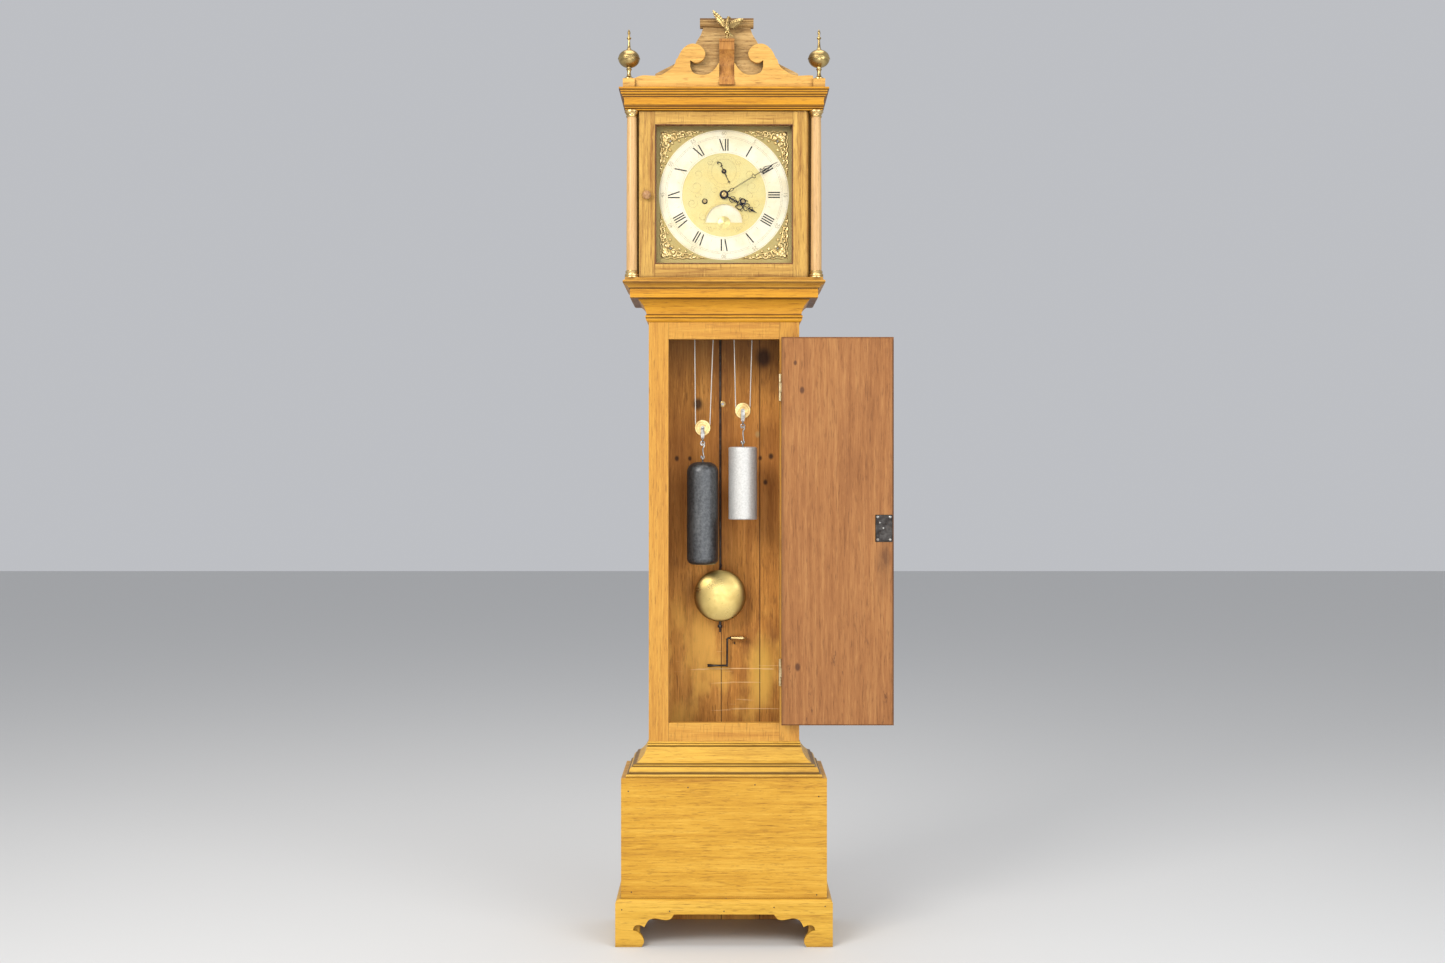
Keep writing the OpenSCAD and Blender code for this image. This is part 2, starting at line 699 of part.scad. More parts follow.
module eagle_finial() {
    wing = smooth([[4, 6], [2, 20], [-6, 32], [-14, 42], [-21, 57], [-27, 63], [-30, 58], [-28, 40],
        [-22, 22],
        [-12, 8], [-4, 0]]);
    right_wing = smooth([[-2, 2], [0, 20], [6, 32], [14, 44], [22, 48], [26, 44], [24, 30], [17, 14],
        [6, 0]]);
    color("darkgoldenrod") translate([crest_x + 2, tablet_y - 21.5, corbel_top]) {
        turned([[12.5, 0], [12.5, 2.5], [10, 4], [5, 5.5], [4, 9], [7, 11], [9, 15], [7, 19], [4, 21.5]]);
        translate([0, 0, 20]) turned([[4, 0], [9, 5], [11, 12], [9.5, 22], [6.5, 30], [5.5, 36], [4,
            40], [1, 42]]);
        translate([6, 0, 57]) sphere(r = 5, $fn = 32);
        plate(-4, 6) translate([-2, 20]) polygon([for (q = wing) [q[0], q[1] * 0.74]]);
        plate(-4, 6) translate([2, 20]) polygon([for (q = right_wing) [q[0], q[1] * 0.74]]);
        plate(-3, 6) polygon([[-2, 24], [9, 8], [17, 12], [6, 34]]);
        plate(-1.5, 3) polygon([[8, 60], [14, 57.5], [8, 54]]);
    }
}

// One ball finial: a flared foot, a ball with a seam around its middle, and a spire
module ball_finial() {
    turned(concat([[11, 0], [11, 3], [7, 5], [4.5, 9], [4, 20], [6, 24], [4.5, 27]],
        bow([5, 27], [23, 44], -3.5), [[23.6, 44.6], [23.6, 46.4]], bow([23, 47], [5, 65], -3.5),
        [[4, 66], [3.2, 78], [2.6, 88], [4.6, 89.5], [4.6, 92], [2.4, 94], [2, 100], [2.8, 103], [2, 108],
        [0.5, finial_h]]));
}

module ball_finials() {
    color("darkgoldenrod") for (side = [-1, 1])
        translate([side * block_x, block_y, cornice_top + block_h]) ball_finial();
}

module column_shafts() {
    low = column_z[0] + column_foot_h;
    high = column_z[1] - column_head_h;
    color("rosybrown") for (side = [-1, 1]) translate([side * hood_half, column_y, low])
        turned(concat([[column_r, 0]], bow([column_r - 0.2, 1], [column_r - 1.5, high - low], -0.6, 8)));
}

module column_brasses() {
    color("goldenrod") for (side = [-1, 1]) translate([side * hood_half, column_y, 0]) {
        translate([0, 0, column_z[0]]) turned(concat([[brass_r, 0], [brass_r, 3]],
            bow([brass_r - 0.5, 3.2], [brass_r - 0.5, 8], -0.5), [[14.2, 9], [13.5, 10.5]],
            bow([13.8, 11], [13.8, 14.5], -0.8), [[12.6, column_foot_h]]));
        translate([0, 0, column_z[1] - column_head_h]) turned(concat([[11.4, 0]],
            bow([12, 0.5], [12, 3.5], -0.9), [[11.5, 4], [11.5, 5.5]], bow([12.5, 6], [brass_r - 1,
                10.5], -1),
            [[brass_r, 11], [brass_r, column_head_h]]));
    }
}

// ---- Hood door ----

// Plan of the door, with its hinge edge rounded about the pivots
module hood_door_plan() {
    translate([-hood_door_half, hood_door_y[0]]) square([hood_door_half + pivot_at[0], hood_door_t]);
    translate(pivot_at) circle(r = pivot_end_r);
    front = pivot_end_r - hinge_corner_r;
    translate([pivot_at[0], hood_door_y[0]]) square([front, hood_door_t / 2]);
    translate([pivot_at[0] + front, hood_door_y[0] + hinge_corner_r]) circle(r = hinge_corner_r);
    translate([pivot_at[0], hood_door_y[0] + hinge_corner_r]) square([pivot_end_r,
        hood_door_t / 2 - hinge_corner_r]);
}

module hood_door_frame() {
    z = [hood_door_z[0], hood_door_z[1]];
    color("peru") difference() {
        translate([0, 0, z[0]]) linear_extrude(z[1] - z[0]) hood_door_plan();
        block([-sight_w / 2, sight_w / 2], [hood_door_y[0] - 1, hood_door_y[1] + 1],
            [sight_z - sight_h / 2, sight_z + sight_h / 2]);
        block([-sight_w / 2 - rebate, sight_w / 2 + rebate], [hood_door_y[0] + bead_t, hood_door_y[1] + 1],
            [sight_z - sight_h / 2 - rebate, sight_z + sight_h / 2 + rebate]);
        for (end = [0, 1]) translate([0, 0, z[end]]) mirror([0, 0, end])
            bar_z(pivot_at, [-1, 20], pivot_r);
    }
}

module hood_door_glass() {
    color("lightcyan", 0.35) block([-sight_w / 2 - rebate + 0.5, sight_w / 2 + rebate - 0.5],
        [hood_door_y[0] + bead_t, hood_door_y[0] + bead_t + glass_t],
        [sight_z - sight_h / 2 - rebate + 0.5, sight_z + sight_h / 2 + rebate - 0.5]);
}

module hood_door_knob() {
    at = [-hood_door_half + 17, dial_z - 6];
    color("saddlebrown") translate([at[0], hood_door_y[0], at[1]]) rotate([90, 0, 0])
        turned(concat([[6, 0], [6, 1.5], [4, 3], [3.5, 6]], bow([4.5, 7], [9.5, 12.5], -1.5, 4),
            bow([9.5, 13], [3, 17.5], -1.5, 4)));
}

// Pin plates on the top and bottom of the hood door's hinge edge
module hood_door_pivots() {
    color("goldenrod") for (end = [0, 1]) translate([0, 0, hood_door_z[end]]) mirror([0, 0, 1 - end]) {
        linear_extrude(pivot_plate_t) {
            translate(pivot_at) circle(r = pivot_end_r - 1.5);
            translate(pivot_at - [14, 6]) square([14, 12]);
        }
        bar_z(pivot_at, [-19, hood_door_gap + pivot_len - 0.5], pivot_r);
    }
}

// ---- Movement: plates, dial and bell ----

// Pivot holes of every arbor, in the plates
module pivot_holes() {
    for (at = [going_at, strike_at]) translate(at) circle(r = barrel_arbor_r + run_gap);
    for (at = [centre_at, third_at, escape_at, pin_at, pallet_at, hammer_at])
        translate(at) circle(r = arbor_r + run_gap);
}

module movement_plates() {
    color("gold") {
        for (y = [front_plate_y, back_plate_y]) plate(y, plate_t) difference() {
            translate([-plate_half, plate_z[0]]) square([2 * plate_half, plate_z[1] - plate_z[0]]);
            pivot_holes();
        }
        // Pillars: the lower two stand between the strands of the lines, and the upper two beside the hammer
        for (at = [[barrel_x, plate_z[0] + 10], [plate_half - 30, plate_z[1] - 10]]) for (side = [-1, 1])
            bar_y([side * at[0], at[1]], [front_plate_y + plate_t, back_plate_y], 5);
        // Stud of the minute wheel
        bar_y(minute_at, [motion_y - 9, front_plate_y], arbor_r);
        back_cock();
        // Post and arm of the bell
        block([bell_at[0] - 4, bell_at[0] + 4], [back_plate_y, back_plate_y + plate_t],
            [plate_z[1], bell_at[1] - 8]);
        block([bell_at[0] - 4, bell_at[0] + 4], [line_y - 3, back_plate_y], [bell_at[1] - 12,
            bell_at[1] - 8]);
        bar_z([bell_at[0], line_y], [bell_at[1] - 10, bell_at[1] + 46], 2.5);
    }
}

// Back cock: carries the rear pivot of the pallet arbor, and the pendulum behind it
module back_cock() {
    y = back_plate_y + plate_t;
    difference() {
        union() {
            block([pendulum_x - 26, pendulum_x + 26], [y + 13, y + 16], [pallet_z - 9, pallet_z + 19]);
            for (side = [-1, 1]) block([pendulum_x + side * 24 - 2, pendulum_x + side * 24 + 2], [y, y + 13],
                [pallet_z - 9, pallet_z + 9]);
            block([pendulum_x - 6, pendulum_x + 6], [y + 16, y + 31], [pallet_z + 8, pallet_z + 17]);
        }
        bar_y(pallet_at, [y + 12, y + 17], arbor_r + run_gap);
        block([pendulum_x - 1.7, pendulum_x + 1.7], [y + 18.5, y + 32], [pallet_z + 7, pallet_z + 18]);
    }
}

module dial_plate() {
    half = dial_size / 2;
    color("khaki") {
        plate(dial_y, dial_t) difference() {
            translate([-half, dial_z - half]) square(dial_size);
            translate(centre_at) circle(r = hour_pipe_r + 1);
            for (at = [going_at, strike_at]) translate(at) circle(r = 6.5);
            translate(escape_at) circle(r = 2.5);
            translate([0, date_z]) difference() {
                intersection() {
                    circle(r = date_r);
                    translate([-date_r, 0]) square([2 * date_r, date_r]);
                }
                circle(r = 14);
            }
        }
        for (x = [-1, 1]) for (z = [-1, 1]) bar_y([x * 68, dial_z + z * 68 + 5], [dial_y + dial_t,
            front_plate_y], 3);
        bar_y([0, date_z], [dial_y + dial_t, dial_y + dial_t + 5], 2);
    }
}

module chapter_ring() {
    color("ivory") plate(dial_y - ring_t, ring_t) translate(centre_at) difference() {
        circle(r = chapter_r, $fn = 120);
        circle(r = chapter_in_r, $fn = 120);
    }
}

// Four cast corner ornaments between the chapter ring and the dial's corners
module spandrels() {
    half = dial_size / 2 - 6;
    end = half * 0.24;
    color("goldenrod") plate(dial_y - 3, 3) translate(centre_at) for (k = [0:3]) rotate(90 * k) difference() {
        polygon([[half - 3, half - 3], [end, half - 3], [end + 4, half - 9], [half / 2, half / 2],
            [half - 9, end + 4], [half - 3, end]]);
        circle(r = chapter_r + 1, $fn = 120);
    }
}

// Bell: a shell under the hood's top board, held on its post
module bell() {
    outer = bow([44, 0], [8, 40], -14, 10);
    color("lightsteelblue") translate([bell_at[0], line_y, bell_at[1]]) rotate_extrude($fn = 64)
        polygon(concat([[42, 0]], outer, [[2.5, 41], [2.5, 38.5]],
            [for (i = [len(outer) - 1:-1:1]) outer[i] - [2, 2.4]]));
}

// ---- Going train ----

module barrel(at) {
    bar_y(at, [dial_y - 4, back_plate_y + plate_t + 1], barrel_arbor_r);
    bar_y(at, barrel_y, barrel_r);
    for (y = [barrel_y[0], barrel_y[1] - 2]) bar_y(at, [y, y + 2], barrel_r + 3);
}

module going_great_wheel() {
    color("gold") crossed_wheel(going_at, great_y, great_t, great_teeth, great_m,
        heading(going_at, centre_at), hub = 9, bore = barrel_arbor_r + run_gap);
}

module going_barrel() {
    color("gold") barrel(going_at);
}

module centre_wheel() {
    color("gold") {
        bar_y(centre_at, [front_plate_y - 1, back_plate_y + plate_t + 1], arbor_r);
        plate(great_y - 2, great_t + 4) translate(centre_at) toothed(centre_leaves, great_m,
            heading(centre_at, going_at) + 180 / centre_leaves);
        crossed_wheel(centre_at, centre_wheel_y, wheel_t, centre_teeth, centre_m, heading(centre_at,
            third_at));
        // Cannon pipe and its wheel, in front of the plate
        bar_y(centre_at, [minute_hand_y - 3, front_plate_y - 1], cannon_r);
        plate(motion_y, wheel_t) translate(centre_at) toothed(motion_teeth, motion_m,
            heading(centre_at, minute_at));
    }
}

module minute_wheel() {
    color("gold") difference() {
        union() {
            plate(motion_y, wheel_t) translate(minute_at) toothed(motion_teeth, motion_m,
                heading(minute_at, centre_at) + 180 / motion_teeth);
            plate(motion_y - 7, 7) translate(minute_at) toothed(motion_leaves, hour_m,
                heading(minute_at, centre_at), share = 0.3);
        }
        bar_y(minute_at, [motion_y - 10, motion_y + 5], arbor_r + run_gap);
    }
}

module hour_wheel() {
    color("gold") difference() {
        union() {
            plate(motion_y - 5.5, wheel_t) translate(centre_at) toothed(hour_teeth, hour_m,
                heading(centre_at, minute_at) + 180 / hour_teeth);
            bar_y(centre_at, [hour_hand_y - 0.8, motion_y - 4], hour_pipe_r);
        }
        bar_y(centre_at, [hour_hand_y - 2, motion_y], cannon_r + run_gap);
    }
}

module third_wheel() {
    color("gold") {
        bar_y(third_at, [front_plate_y - 0.5, back_plate_y + plate_t + 0.5], arbor_r);
        plate(centre_wheel_y - 2, wheel_t + 4) translate(third_at) toothed(third_leaves, centre_m,
            heading(third_at, centre_at) + 180 / third_leaves);
        crossed_wheel(third_at, third_wheel_y, wheel_t, third_teeth, third_m, heading(third_at, escape_at));
    }
}

module escape_wheel() {
    tip = 22.6;
    pitch = 360 / escape_teeth;
    color("gold") {
        bar_y(escape_at, [seconds_hand_y - 1, back_plate_y + plate_t + 0.5], arbor_r);
        plate(third_wheel_y - 2, wheel_t + 4) translate(escape_at) toothed(escape_leaves, third_m,
            heading(escape_at, third_at) + 180 / escape_leaves, share = 0.3);
        plate(escape_wheel_y, wheel_t) translate(escape_at) difference() {
            polygon([for (i = [0:escape_teeth - 1]) for (q = [[0, tip], [0.12, tip], [0.55, tip - 4.5],
                [0.95, tip - 4.5]])
                polar(q[1], -pitch * (i + q[0]))]);
            difference() {
                circle(r = tip - 6.5);
                circle(r = 4);
                for (k = [0:3]) rotate(90 * k) translate([0, -1]) square([tip - 5, 2]);
            }
        }
    }
}

// Anchor with its arbor and crutch. Its pallets stay just outside the wheel's teeth.
module anchor() {
    y = escape_wheel_y - 0.6;
    rear = back_plate_y + plate_t;
    crutch_z = pallet_z - 76;
    color("slategray") {
        bar_y(pallet_at, [front_plate_y - 0.5, rear + 16.5], arbor_r);
        plate(y, 3) translate(pallet_at) {
            circle(r = 5);
            polygon([[-4, 3], [-20, -8], [-22, -19], [-18.5, -21], [-16, -11], [-2, -4],
                [2, -4], [17, -6], [30.5, -12.5], [33, -10], [20, 0], [4, 3]]);
        }
        plate(rear + 5, 2.5) {
            translate([pendulum_x - 1.6, crutch_z]) square([3.2, pallet_z - crutch_z]);
            translate(pallet_at) circle(r = 4);
            translate([pendulum_x - 5.5, crutch_z - 3]) square([11, 5]);
        }
        block_pair_at(pendulum_x, [3, 5.5], [rear + 5, pendulum_y + 5], [crutch_z - 3, crutch_z + 2]);
    }
}

// Two blocks either side of the line x = at
module block_pair_at(at, x, y, z) {
    translate([at, 0, 0]) block_pair(x, y, z);
}

module pendulum_rod() {
    bob_z = pallet_z - pendulum_len;
    color("dimgray") {
        block([pendulum_x - 0.3, pendulum_x + 0.3], [pendulum_y - 4, pendulum_y + 4], [pallet_z - 32,
            pallet_z + 20]);
        block([pendulum_x - 4.5, pendulum_x + 4.5], [pendulum_y - 5, pendulum_y + 5], [pallet_z + 17.6,
            pallet_z + 22]);
        block([pendulum_x - 1.9, pendulum_x + 1.9], [pendulum_y - 4, pendulum_y + 4], [pallet_z - 40,
            pallet_z - 26]);
        bar_z([pendulum_x, pendulum_y], [bob_z - bob_d / 2 - 24, pallet_z - 30], 2);
    }
}

module pendulum_bob() {
    bob_z = pallet_z - pendulum_len;
    r = bob_d / 2;
    color("darkgoldenrod") difference() {
        union() {
            translate([pendulum_x, pendulum_y, bob_z]) rotate([90, 0, 0]) rotate_extrude($fn = 96)
                polygon(concat(bow([0, 14], [r - 0.6, 1], -2.4, 12), [[r, 0.6], [r, -0.6]],
                    bow([r - 0.6, -1], [0, -14], -2.4, 12)));
            bar_z([pendulum_x, pendulum_y], [bob_z - r - 14, bob_z - r - 6], 7);
            bar_z([pendulum_x, pendulum_y], [bob_z - r - 7, bob_z - r + 4], 4);
        }
        bar_z([pendulum_x, pendulum_y], [bob_z - r - 30, bob_z + r + 30], 2);
    }
}

// ---- Hands and date ----

module minute_hand() {
    color("midnightblue") plate(minute_hand_y,
        hand_t) translate(centre_at) rotate(-minute_turn) difference() {
        union() {
            circle(r = 8);
            translate([0, 12]) circle(r = 4.5);
            polygon([[-1.6, 0], [1.6, 0], [1.2, 100], [-1.2, 100]]);
            translate([0, 24]) circle(r = 3.2);
            both_sides(concat(smooth([[1.2, 96], [5.5, 104], [5, 112], [1.4, 119]]),
                [[0.7, minute_len - 3], [0.1, minute_len]]));
        }
        circle(r = cannon_r);
        translate([0, 107]) circle(r = 2.4);
    }
}

module hour_hand() {
    color("midnightblue") plate(hour_hand_y, hand_t) translate(centre_at) rotate(-hour_turn) difference() {
        union() {
            circle(r = 10);
            polygon([[-2, 0], [2, 0], [1.6, 34], [-1.6, 34]]);
            for (side = [-1, 1]) {
                translate([side * 5, 24]) circle(r = 5);
                translate([side * 7.5, 46]) circle(r = 6.5);
            }
            both_sides(concat(smooth([[3, 33], [13, 46], [8, 56], [1.6, 64]]),
                [[0.9, hour_len - 4], [0.1, hour_len]]));
        }
        circle(r = hour_pipe_r);
        for (side = [-1, 1]) {
            translate([side * 5.5, 24.5]) circle(r = 2.4);
            translate([side * 7, 46]) circle(r = 3.6);
        }
        translate([0, 56]) circle(r = 1.4);
    }
}

module seconds_hand() {
    color("midnightblue") plate(seconds_hand_y, 1) translate(escape_at) rotate(-seconds_turn) difference() {
        union() {
            circle(r = 4.2);
            polygon([[-1.1, 0], [1.1, 0], [0.4, 31], [-0.4, 31]]);
            polygon([[-1.8, -12], [-1.5, -25], [1.5, -26], [4, -22], [1.8, -14], [1, 0], [-1, 0]]);
        }
        circle(r = arbor_r);
    }
}

module date_disc() {
    color("ivory") plate(dial_y + dial_t + 1, 1.2) translate([0, date_z]) difference() {
        circle(r = date_r + 4);
        circle(r = 2 + run_gap);
    }
}

// ---- Striking train ----

module strike_great_wheel() {
    color("gold") crossed_wheel(strike_at, great_y, great_t, strike_teeth, strike_m,
        heading(strike_at, pin_at), hub = 9, bore = barrel_arbor_r + run_gap);
}

module strike_barrel() {
    color("gold") barrel(strike_at);
}

module pin_wheel() {
    color("gold") {
        bar_y(pin_at, [front_plate_y - 0.5, back_plate_y + plate_t + 0.5], arbor_r);
        plate(great_y - 2, great_t + 4) translate(pin_at) toothed(pin_leaves, strike_m,
            heading(pin_at, strike_at) + 180 / pin_leaves);
        crossed_wheel(pin_at, pin_wheel_y, wheel_t, 64, 0.62, 0);
        for (k = [0:7]) bar_y(pin_at + polar(18.2, 45 * k + 10), [pin_wheel_y - pin_len, pin_wheel_y], 1);
    }
}

module hammer() {
    head = [bell_at[0] - 52.5, bell_at[1] + 3];
    color("slategray") {
        bar_y(hammer_at, [front_plate_y - 0.5, back_plate_y + plate_t + 0.5], arbor_r);
        translate([hammer_at[0], line_y, hammer_at[1]]) rotate([0, atan2(head[0] - hammer_at[0],
            head[1] - hammer_at[1]), 0])
            cylinder(r = 1.4, h = norm(head - hammer_at));
        translate([head[0] - 5, line_y, head[1]]) rotate([0, 90, 0]) cylinder(r = 5, h = 10);
        plate(pin_wheel_y - 5, 3) polygon([hammer_at + [-3, -3], hammer_at + [8, -6], hammer_at + [9, -3.5],
            hammer_at + [3, 3], hammer_at + [-3, 3]]);
    }
}

// ---- Lines, pulleys and weights ----

// Route of a line: off the barrel, down to the pulley, round it, and up to the seatboard
function line_route(barrel_at, pulley_at, fixed_x) = concat(
    [for (t = [0, 0.25, 0.5, 0.75]) (1 - t) * (barrel_at + [leave_x, 0]) + t * (pulley_at - [wrap_r, 0])],
    [for (k = [0:16]) pulley_at + polar(wrap_r, 180 + 180 * k / 16)],
    [for (t = [0.25, 0.5, 0.75, 1]) (1 - t) * (pulley_at + [wrap_r, 0])
        + t * [barrel_at[0] + fixed_x, cheek_top]]);

module going_line() {
    color("white") line_tube(line_route(going_at, going_pulley_at, going_fixed_x), line_y, line_r);
}

module strike_line() {
    color("white") line_tube(line_route(strike_at, strike_pulley_at, strike_fixed_x), line_y, line_r);
}

module pulley(at) {
    r = pulley_r;
    half = pulley_t / 2;
    translate([at[0], line_y, at[1]]) rotate([90, 0, 0]) rotate_extrude($fn = 64)
        polygon([[2 + run_gap, -half], [r, -half], [r, -2.6], [groove_r, -1.3], [groove_r, 1.3], [r,
            2.6], [r, half],
            [2 + run_gap, half]]);
}

module going_pulley() {
    color("gold") pulley(going_pulley_at);
}

module strike_pulley() {
    color("gold") pulley(strike_pulley_at);
}

// Ring of round wire in a plane that holds Z
module wire_ring(r, wire, turn = 0) {
    rotate([90, 0, turn]) rotate_extrude($fn = 40) translate([r, 0]) circle(r = wire, $fn = 16);
}

// Strap that holds a pulley, with the hook that carries the weight
module hook(at, weight_top) {
    half = pulley_t / 2 + curve_gap;
    low = -pulley_r - 10;
    translate([at[0], line_y, at[1]]) {
        rotate([90, 0, 0]) cylinder(r = 2, h = 2 * (half + strap_t), center = true);
        for (side = [0, 1]) mirror([0, side, 0])
            block([-strap_w / 2, strap_w / 2], [half, half + strap_t], [low, 5]);
        block([-strap_w / 2, strap_w / 2], [-half - strap_t, half + strap_t], [low - 3, low]);
        translate([0, 0, low - 8]) wire_ring(6, 1.6);
        bar_z([0, 0], [weight_top - at[1] + 15, low - 13], 1.7);
        translate([0, 0, weight_top - at[1] + 9]) wire_ring(7, 1.7, 90);
    }
}

module going_hook() {
    color("silver") hook(going_pulley_at, going_weight_z[1]);
}

module strike_hook() {
    color("silver") hook(strike_pulley_at, strike_weight_z[1]);
}

module going_weight() {
    h = going_weight_z[1] - going_weight_z[0];
    r = going_weight_r;
    color("gray") translate([going_pulley_at[0], line_y, going_weight_z[0]])
        turned([[r - 1.5, 0], [r, 1.5], [r, h - 3], [r - 3, h]]);
}

module strike_weight() {
    h = strike_weight_z[1] - strike_weight_z[0];
    r = strike_weight_r;
    color("black") translate([strike_pulley_at[0], line_y, strike_weight_z[0]])
        turned(concat(bow([r - 22, 0], [r, 24], -7), bow([r - 2, h - 27], [r - 17.5, h], -5)));
}

module winding_crank() {
    y = -25;
    knob_z = base_h + 287.5;
    shaft_z = base_h + 224;
    color("tan") {
        translate([16, y, knob_z]) rotate([0, 90, 0])
            turned(concat([[3.5, 0]], bow([4, 1], [4, 35], -1.5, 8), [[2.5, 36.5]]));
        plate(y - 1.5, 3) polygon([[8, knob_z + 4], [17, knob_z + 4], [17, knob_z - 4], [12.5, knob_z - 6],
            [10, shaft_z - 4], [4, shaft_z - 4], [4.5, shaft_z + 2]]);
        translate([7, y, shaft_z]) rotate([0, -90, 0]) difference() {
            cylinder(r = 4.5, h = 45);
            translate([-2.4, -2.4, 25]) cube([4.8, 4.8, 25]);
        }
    }
}

backboard();
trunk_sides();
trunk_frame();
throat_moulding();
base_panels();
base_moulding();
plinth();
seatboard();
case_hinge_leaves();
key_nail();
trunk_door();
door_hinge_leaves();
door_lock();
lock_bolt();
hood_carcass();
hood_base_moulding();
hood_cornice();
pediment_front();
pediment_tablet();
centre_corbel();
eagle_finial();
ball_finials();
column_shafts();
column_brasses();
hood_door_frame();
hood_door_glass();
hood_door_knob();
hood_door_pivots();
movement_plates();
dial_plate();
chapter_ring();
spandrels();
bell();
going_great_wheel();
going_barrel();
centre_wheel();
minute_hand();
minute_wheel();
hour_wheel();
hour_hand();
third_wheel();
escape_wheel();
seconds_hand();
anchor();
pendulum_rod();
pendulum_bob();
date_disc();
strike_great_wheel();
strike_barrel();
pin_wheel();
hammer();
going_line();
strike_line();
going_pulley();
strike_pulley();
going_hook();
strike_hook();
going_weight();
strike_weight();
winding_crank();
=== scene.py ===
"""Looks of a longcase clock: oak, brass, silvered and iron finishes, and the pieces that need fine shapes."""
import math
import random

import bmesh
import bpy
from bpy.props import FloatProperty, FloatVectorProperty, PointerProperty
from mathutils import Matrix, Vector


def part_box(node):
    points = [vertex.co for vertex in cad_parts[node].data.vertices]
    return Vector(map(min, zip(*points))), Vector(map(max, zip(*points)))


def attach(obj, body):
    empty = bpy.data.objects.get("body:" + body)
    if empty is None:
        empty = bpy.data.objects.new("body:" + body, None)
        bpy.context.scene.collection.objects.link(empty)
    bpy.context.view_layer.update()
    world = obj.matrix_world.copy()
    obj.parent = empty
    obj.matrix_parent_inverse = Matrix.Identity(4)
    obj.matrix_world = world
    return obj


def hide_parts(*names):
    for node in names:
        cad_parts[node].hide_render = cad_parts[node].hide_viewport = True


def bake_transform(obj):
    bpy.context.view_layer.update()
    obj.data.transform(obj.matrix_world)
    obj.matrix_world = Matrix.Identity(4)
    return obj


bl_info = {
    "name": "Longcase clock",
    "version": (1, 0, 0),
    "blender": (4, 5, 0),
    "location": "View3D > Sidebar > Clock",
    "description": "Finishes and fine pieces of an oak longcase clock around its packed frame",
    "category": "Object",
}

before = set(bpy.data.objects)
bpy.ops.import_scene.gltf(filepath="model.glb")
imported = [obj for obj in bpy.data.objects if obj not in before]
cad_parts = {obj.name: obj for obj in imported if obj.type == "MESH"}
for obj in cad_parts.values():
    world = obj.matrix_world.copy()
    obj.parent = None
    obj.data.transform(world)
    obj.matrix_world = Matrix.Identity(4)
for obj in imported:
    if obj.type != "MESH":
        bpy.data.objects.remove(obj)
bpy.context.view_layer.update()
MM = 0.001


# ---- Places in millimetres, worked out from the frame ----

def low(node):
    """Lowest corner of a node's box."""
    return Vector(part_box(node)[0]) / MM


def high(node):
    """Highest corner of a node's box."""
    return Vector(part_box(node)[1]) / MM


def middle(node):
    """Middle of a node's box."""
    return (low(node) + high(node)) / 2


DIAL_X = 0.0
DIAL_Z = middle("dial_plate").z
DIAL_Y = low("dial_plate").y
RING_Y = low("chapter_ring").y
RING_R = (high("chapter_ring").z - low("chapter_ring").z) / 2
SECONDS_Z = middle("escape_wheel").z
DATE_Z = middle("date_disc").z
BARREL_X = middle("going_barrel").x
BARREL_Z = middle("going_barrel").z
LINE_Y = middle("going_pulley").y
GOING = middle("going_pulley")
STRIKE = middle("strike_pulley")
SEAT_Z = low("seatboard").z
CREST_X = middle("centre_corbel").x
PENDULUM_X = middle("pendulum_rod").x
BOB_R = (high("pendulum_bob").x - low("pendulum_bob").x) / 2
BOB_Z = high("pendulum_bob").z - BOB_R
TRUNK_FRONT = low("trunk_frame").y
LINE_INSET = 0.9  # from the edge of a line's box to the middle of the line
HINGE_HEIGHTS = (591, 1222)
WALL_SCREW_X, WALL_SCREW_Z = -3, 1193

# Where the hands stand, in degrees clockwise from the top
HOUR_ANGLE = 119
MINUTE_ANGLE = 58.6
SECONDS_ANGLE = 155


def opening(node):
    """Half width of a frame's opening, in metres."""
    return min(abs(v.co.x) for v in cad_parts[node].data.vertices)


FRAME_OPENING = opening("trunk_frame")
HOOD_OPENING = opening("hood_door_frame")
# Heights of the quirks above the foot of their moulding, where painted shadow lines lie
CORNICE_QUIRKS = (3.4, 7.3, 10.2, 28.6, 32.8, 38.2, 43.1)
BASE_QUIRKS = (7.6, 9.9, 22.1, 26.9, 61.9)
GLASS_LAP = high("hood_door_glass").x - HOOD_OPENING / MM


# ---- Mesh helpers ----

def add_mesh(name, verts, faces, body, finish, smooth=True, node=None):
    """New mesh piece that rides on a body and takes a finish."""
    mesh = bpy.data.meshes.new(name)
    mesh.from_pydata([tuple(v) for v in verts], [], faces)
    mesh.update()
    return add_piece(name, mesh, body, finish, smooth, node)


def add_piece(name, mesh, body, finish, smooth=True, node=None):
    """Puts a mesh in the scene as a piece, with outward faces."""
    cleaned = bmesh.new()
    cleaned.from_mesh(mesh)
    bmesh.ops.recalc_face_normals(cleaned, faces=cleaned.faces)
    for face in cleaned.faces:
        face.smooth = smooth
    cleaned.to_mesh(mesh)
    cleaned.free()
    piece = bpy.data.objects.new(name, mesh)
    bpy.context.scene.collection.objects.link(piece)
    mesh.materials.append(finish)
    if smooth:
        sharpen(piece)
    if body:
        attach(piece, body)
    if node:
        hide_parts(*([node] if isinstance(node, str) else node))
    return piece


def sharpen(piece, angle=35):
    """Marks edges sharper than the angle, so that only round parts shade smoothly."""
    mesh = piece.data
    edges = bmesh.new()
    edges.from_mesh(mesh)
    for edge in edges.edges:
        if len(edge.link_faces) == 2 and edge.calc_face_angle(0) > math.radians(angle):
            edge.smooth = False
    edges.to_mesh(mesh)
    edges.free()


def bevelled(piece, width, segments=2, angle=40):
    """Eases the sharp edges of a piece."""
    bevel = piece.modifiers.new("eased_edges", "BEVEL")
    bevel.width = width
    bevel.segments = segments
    bevel.limit_method = "ANGLE"
    bevel.angle_limit = math.radians(angle)
    bevel.harden_normals = False
    return piece


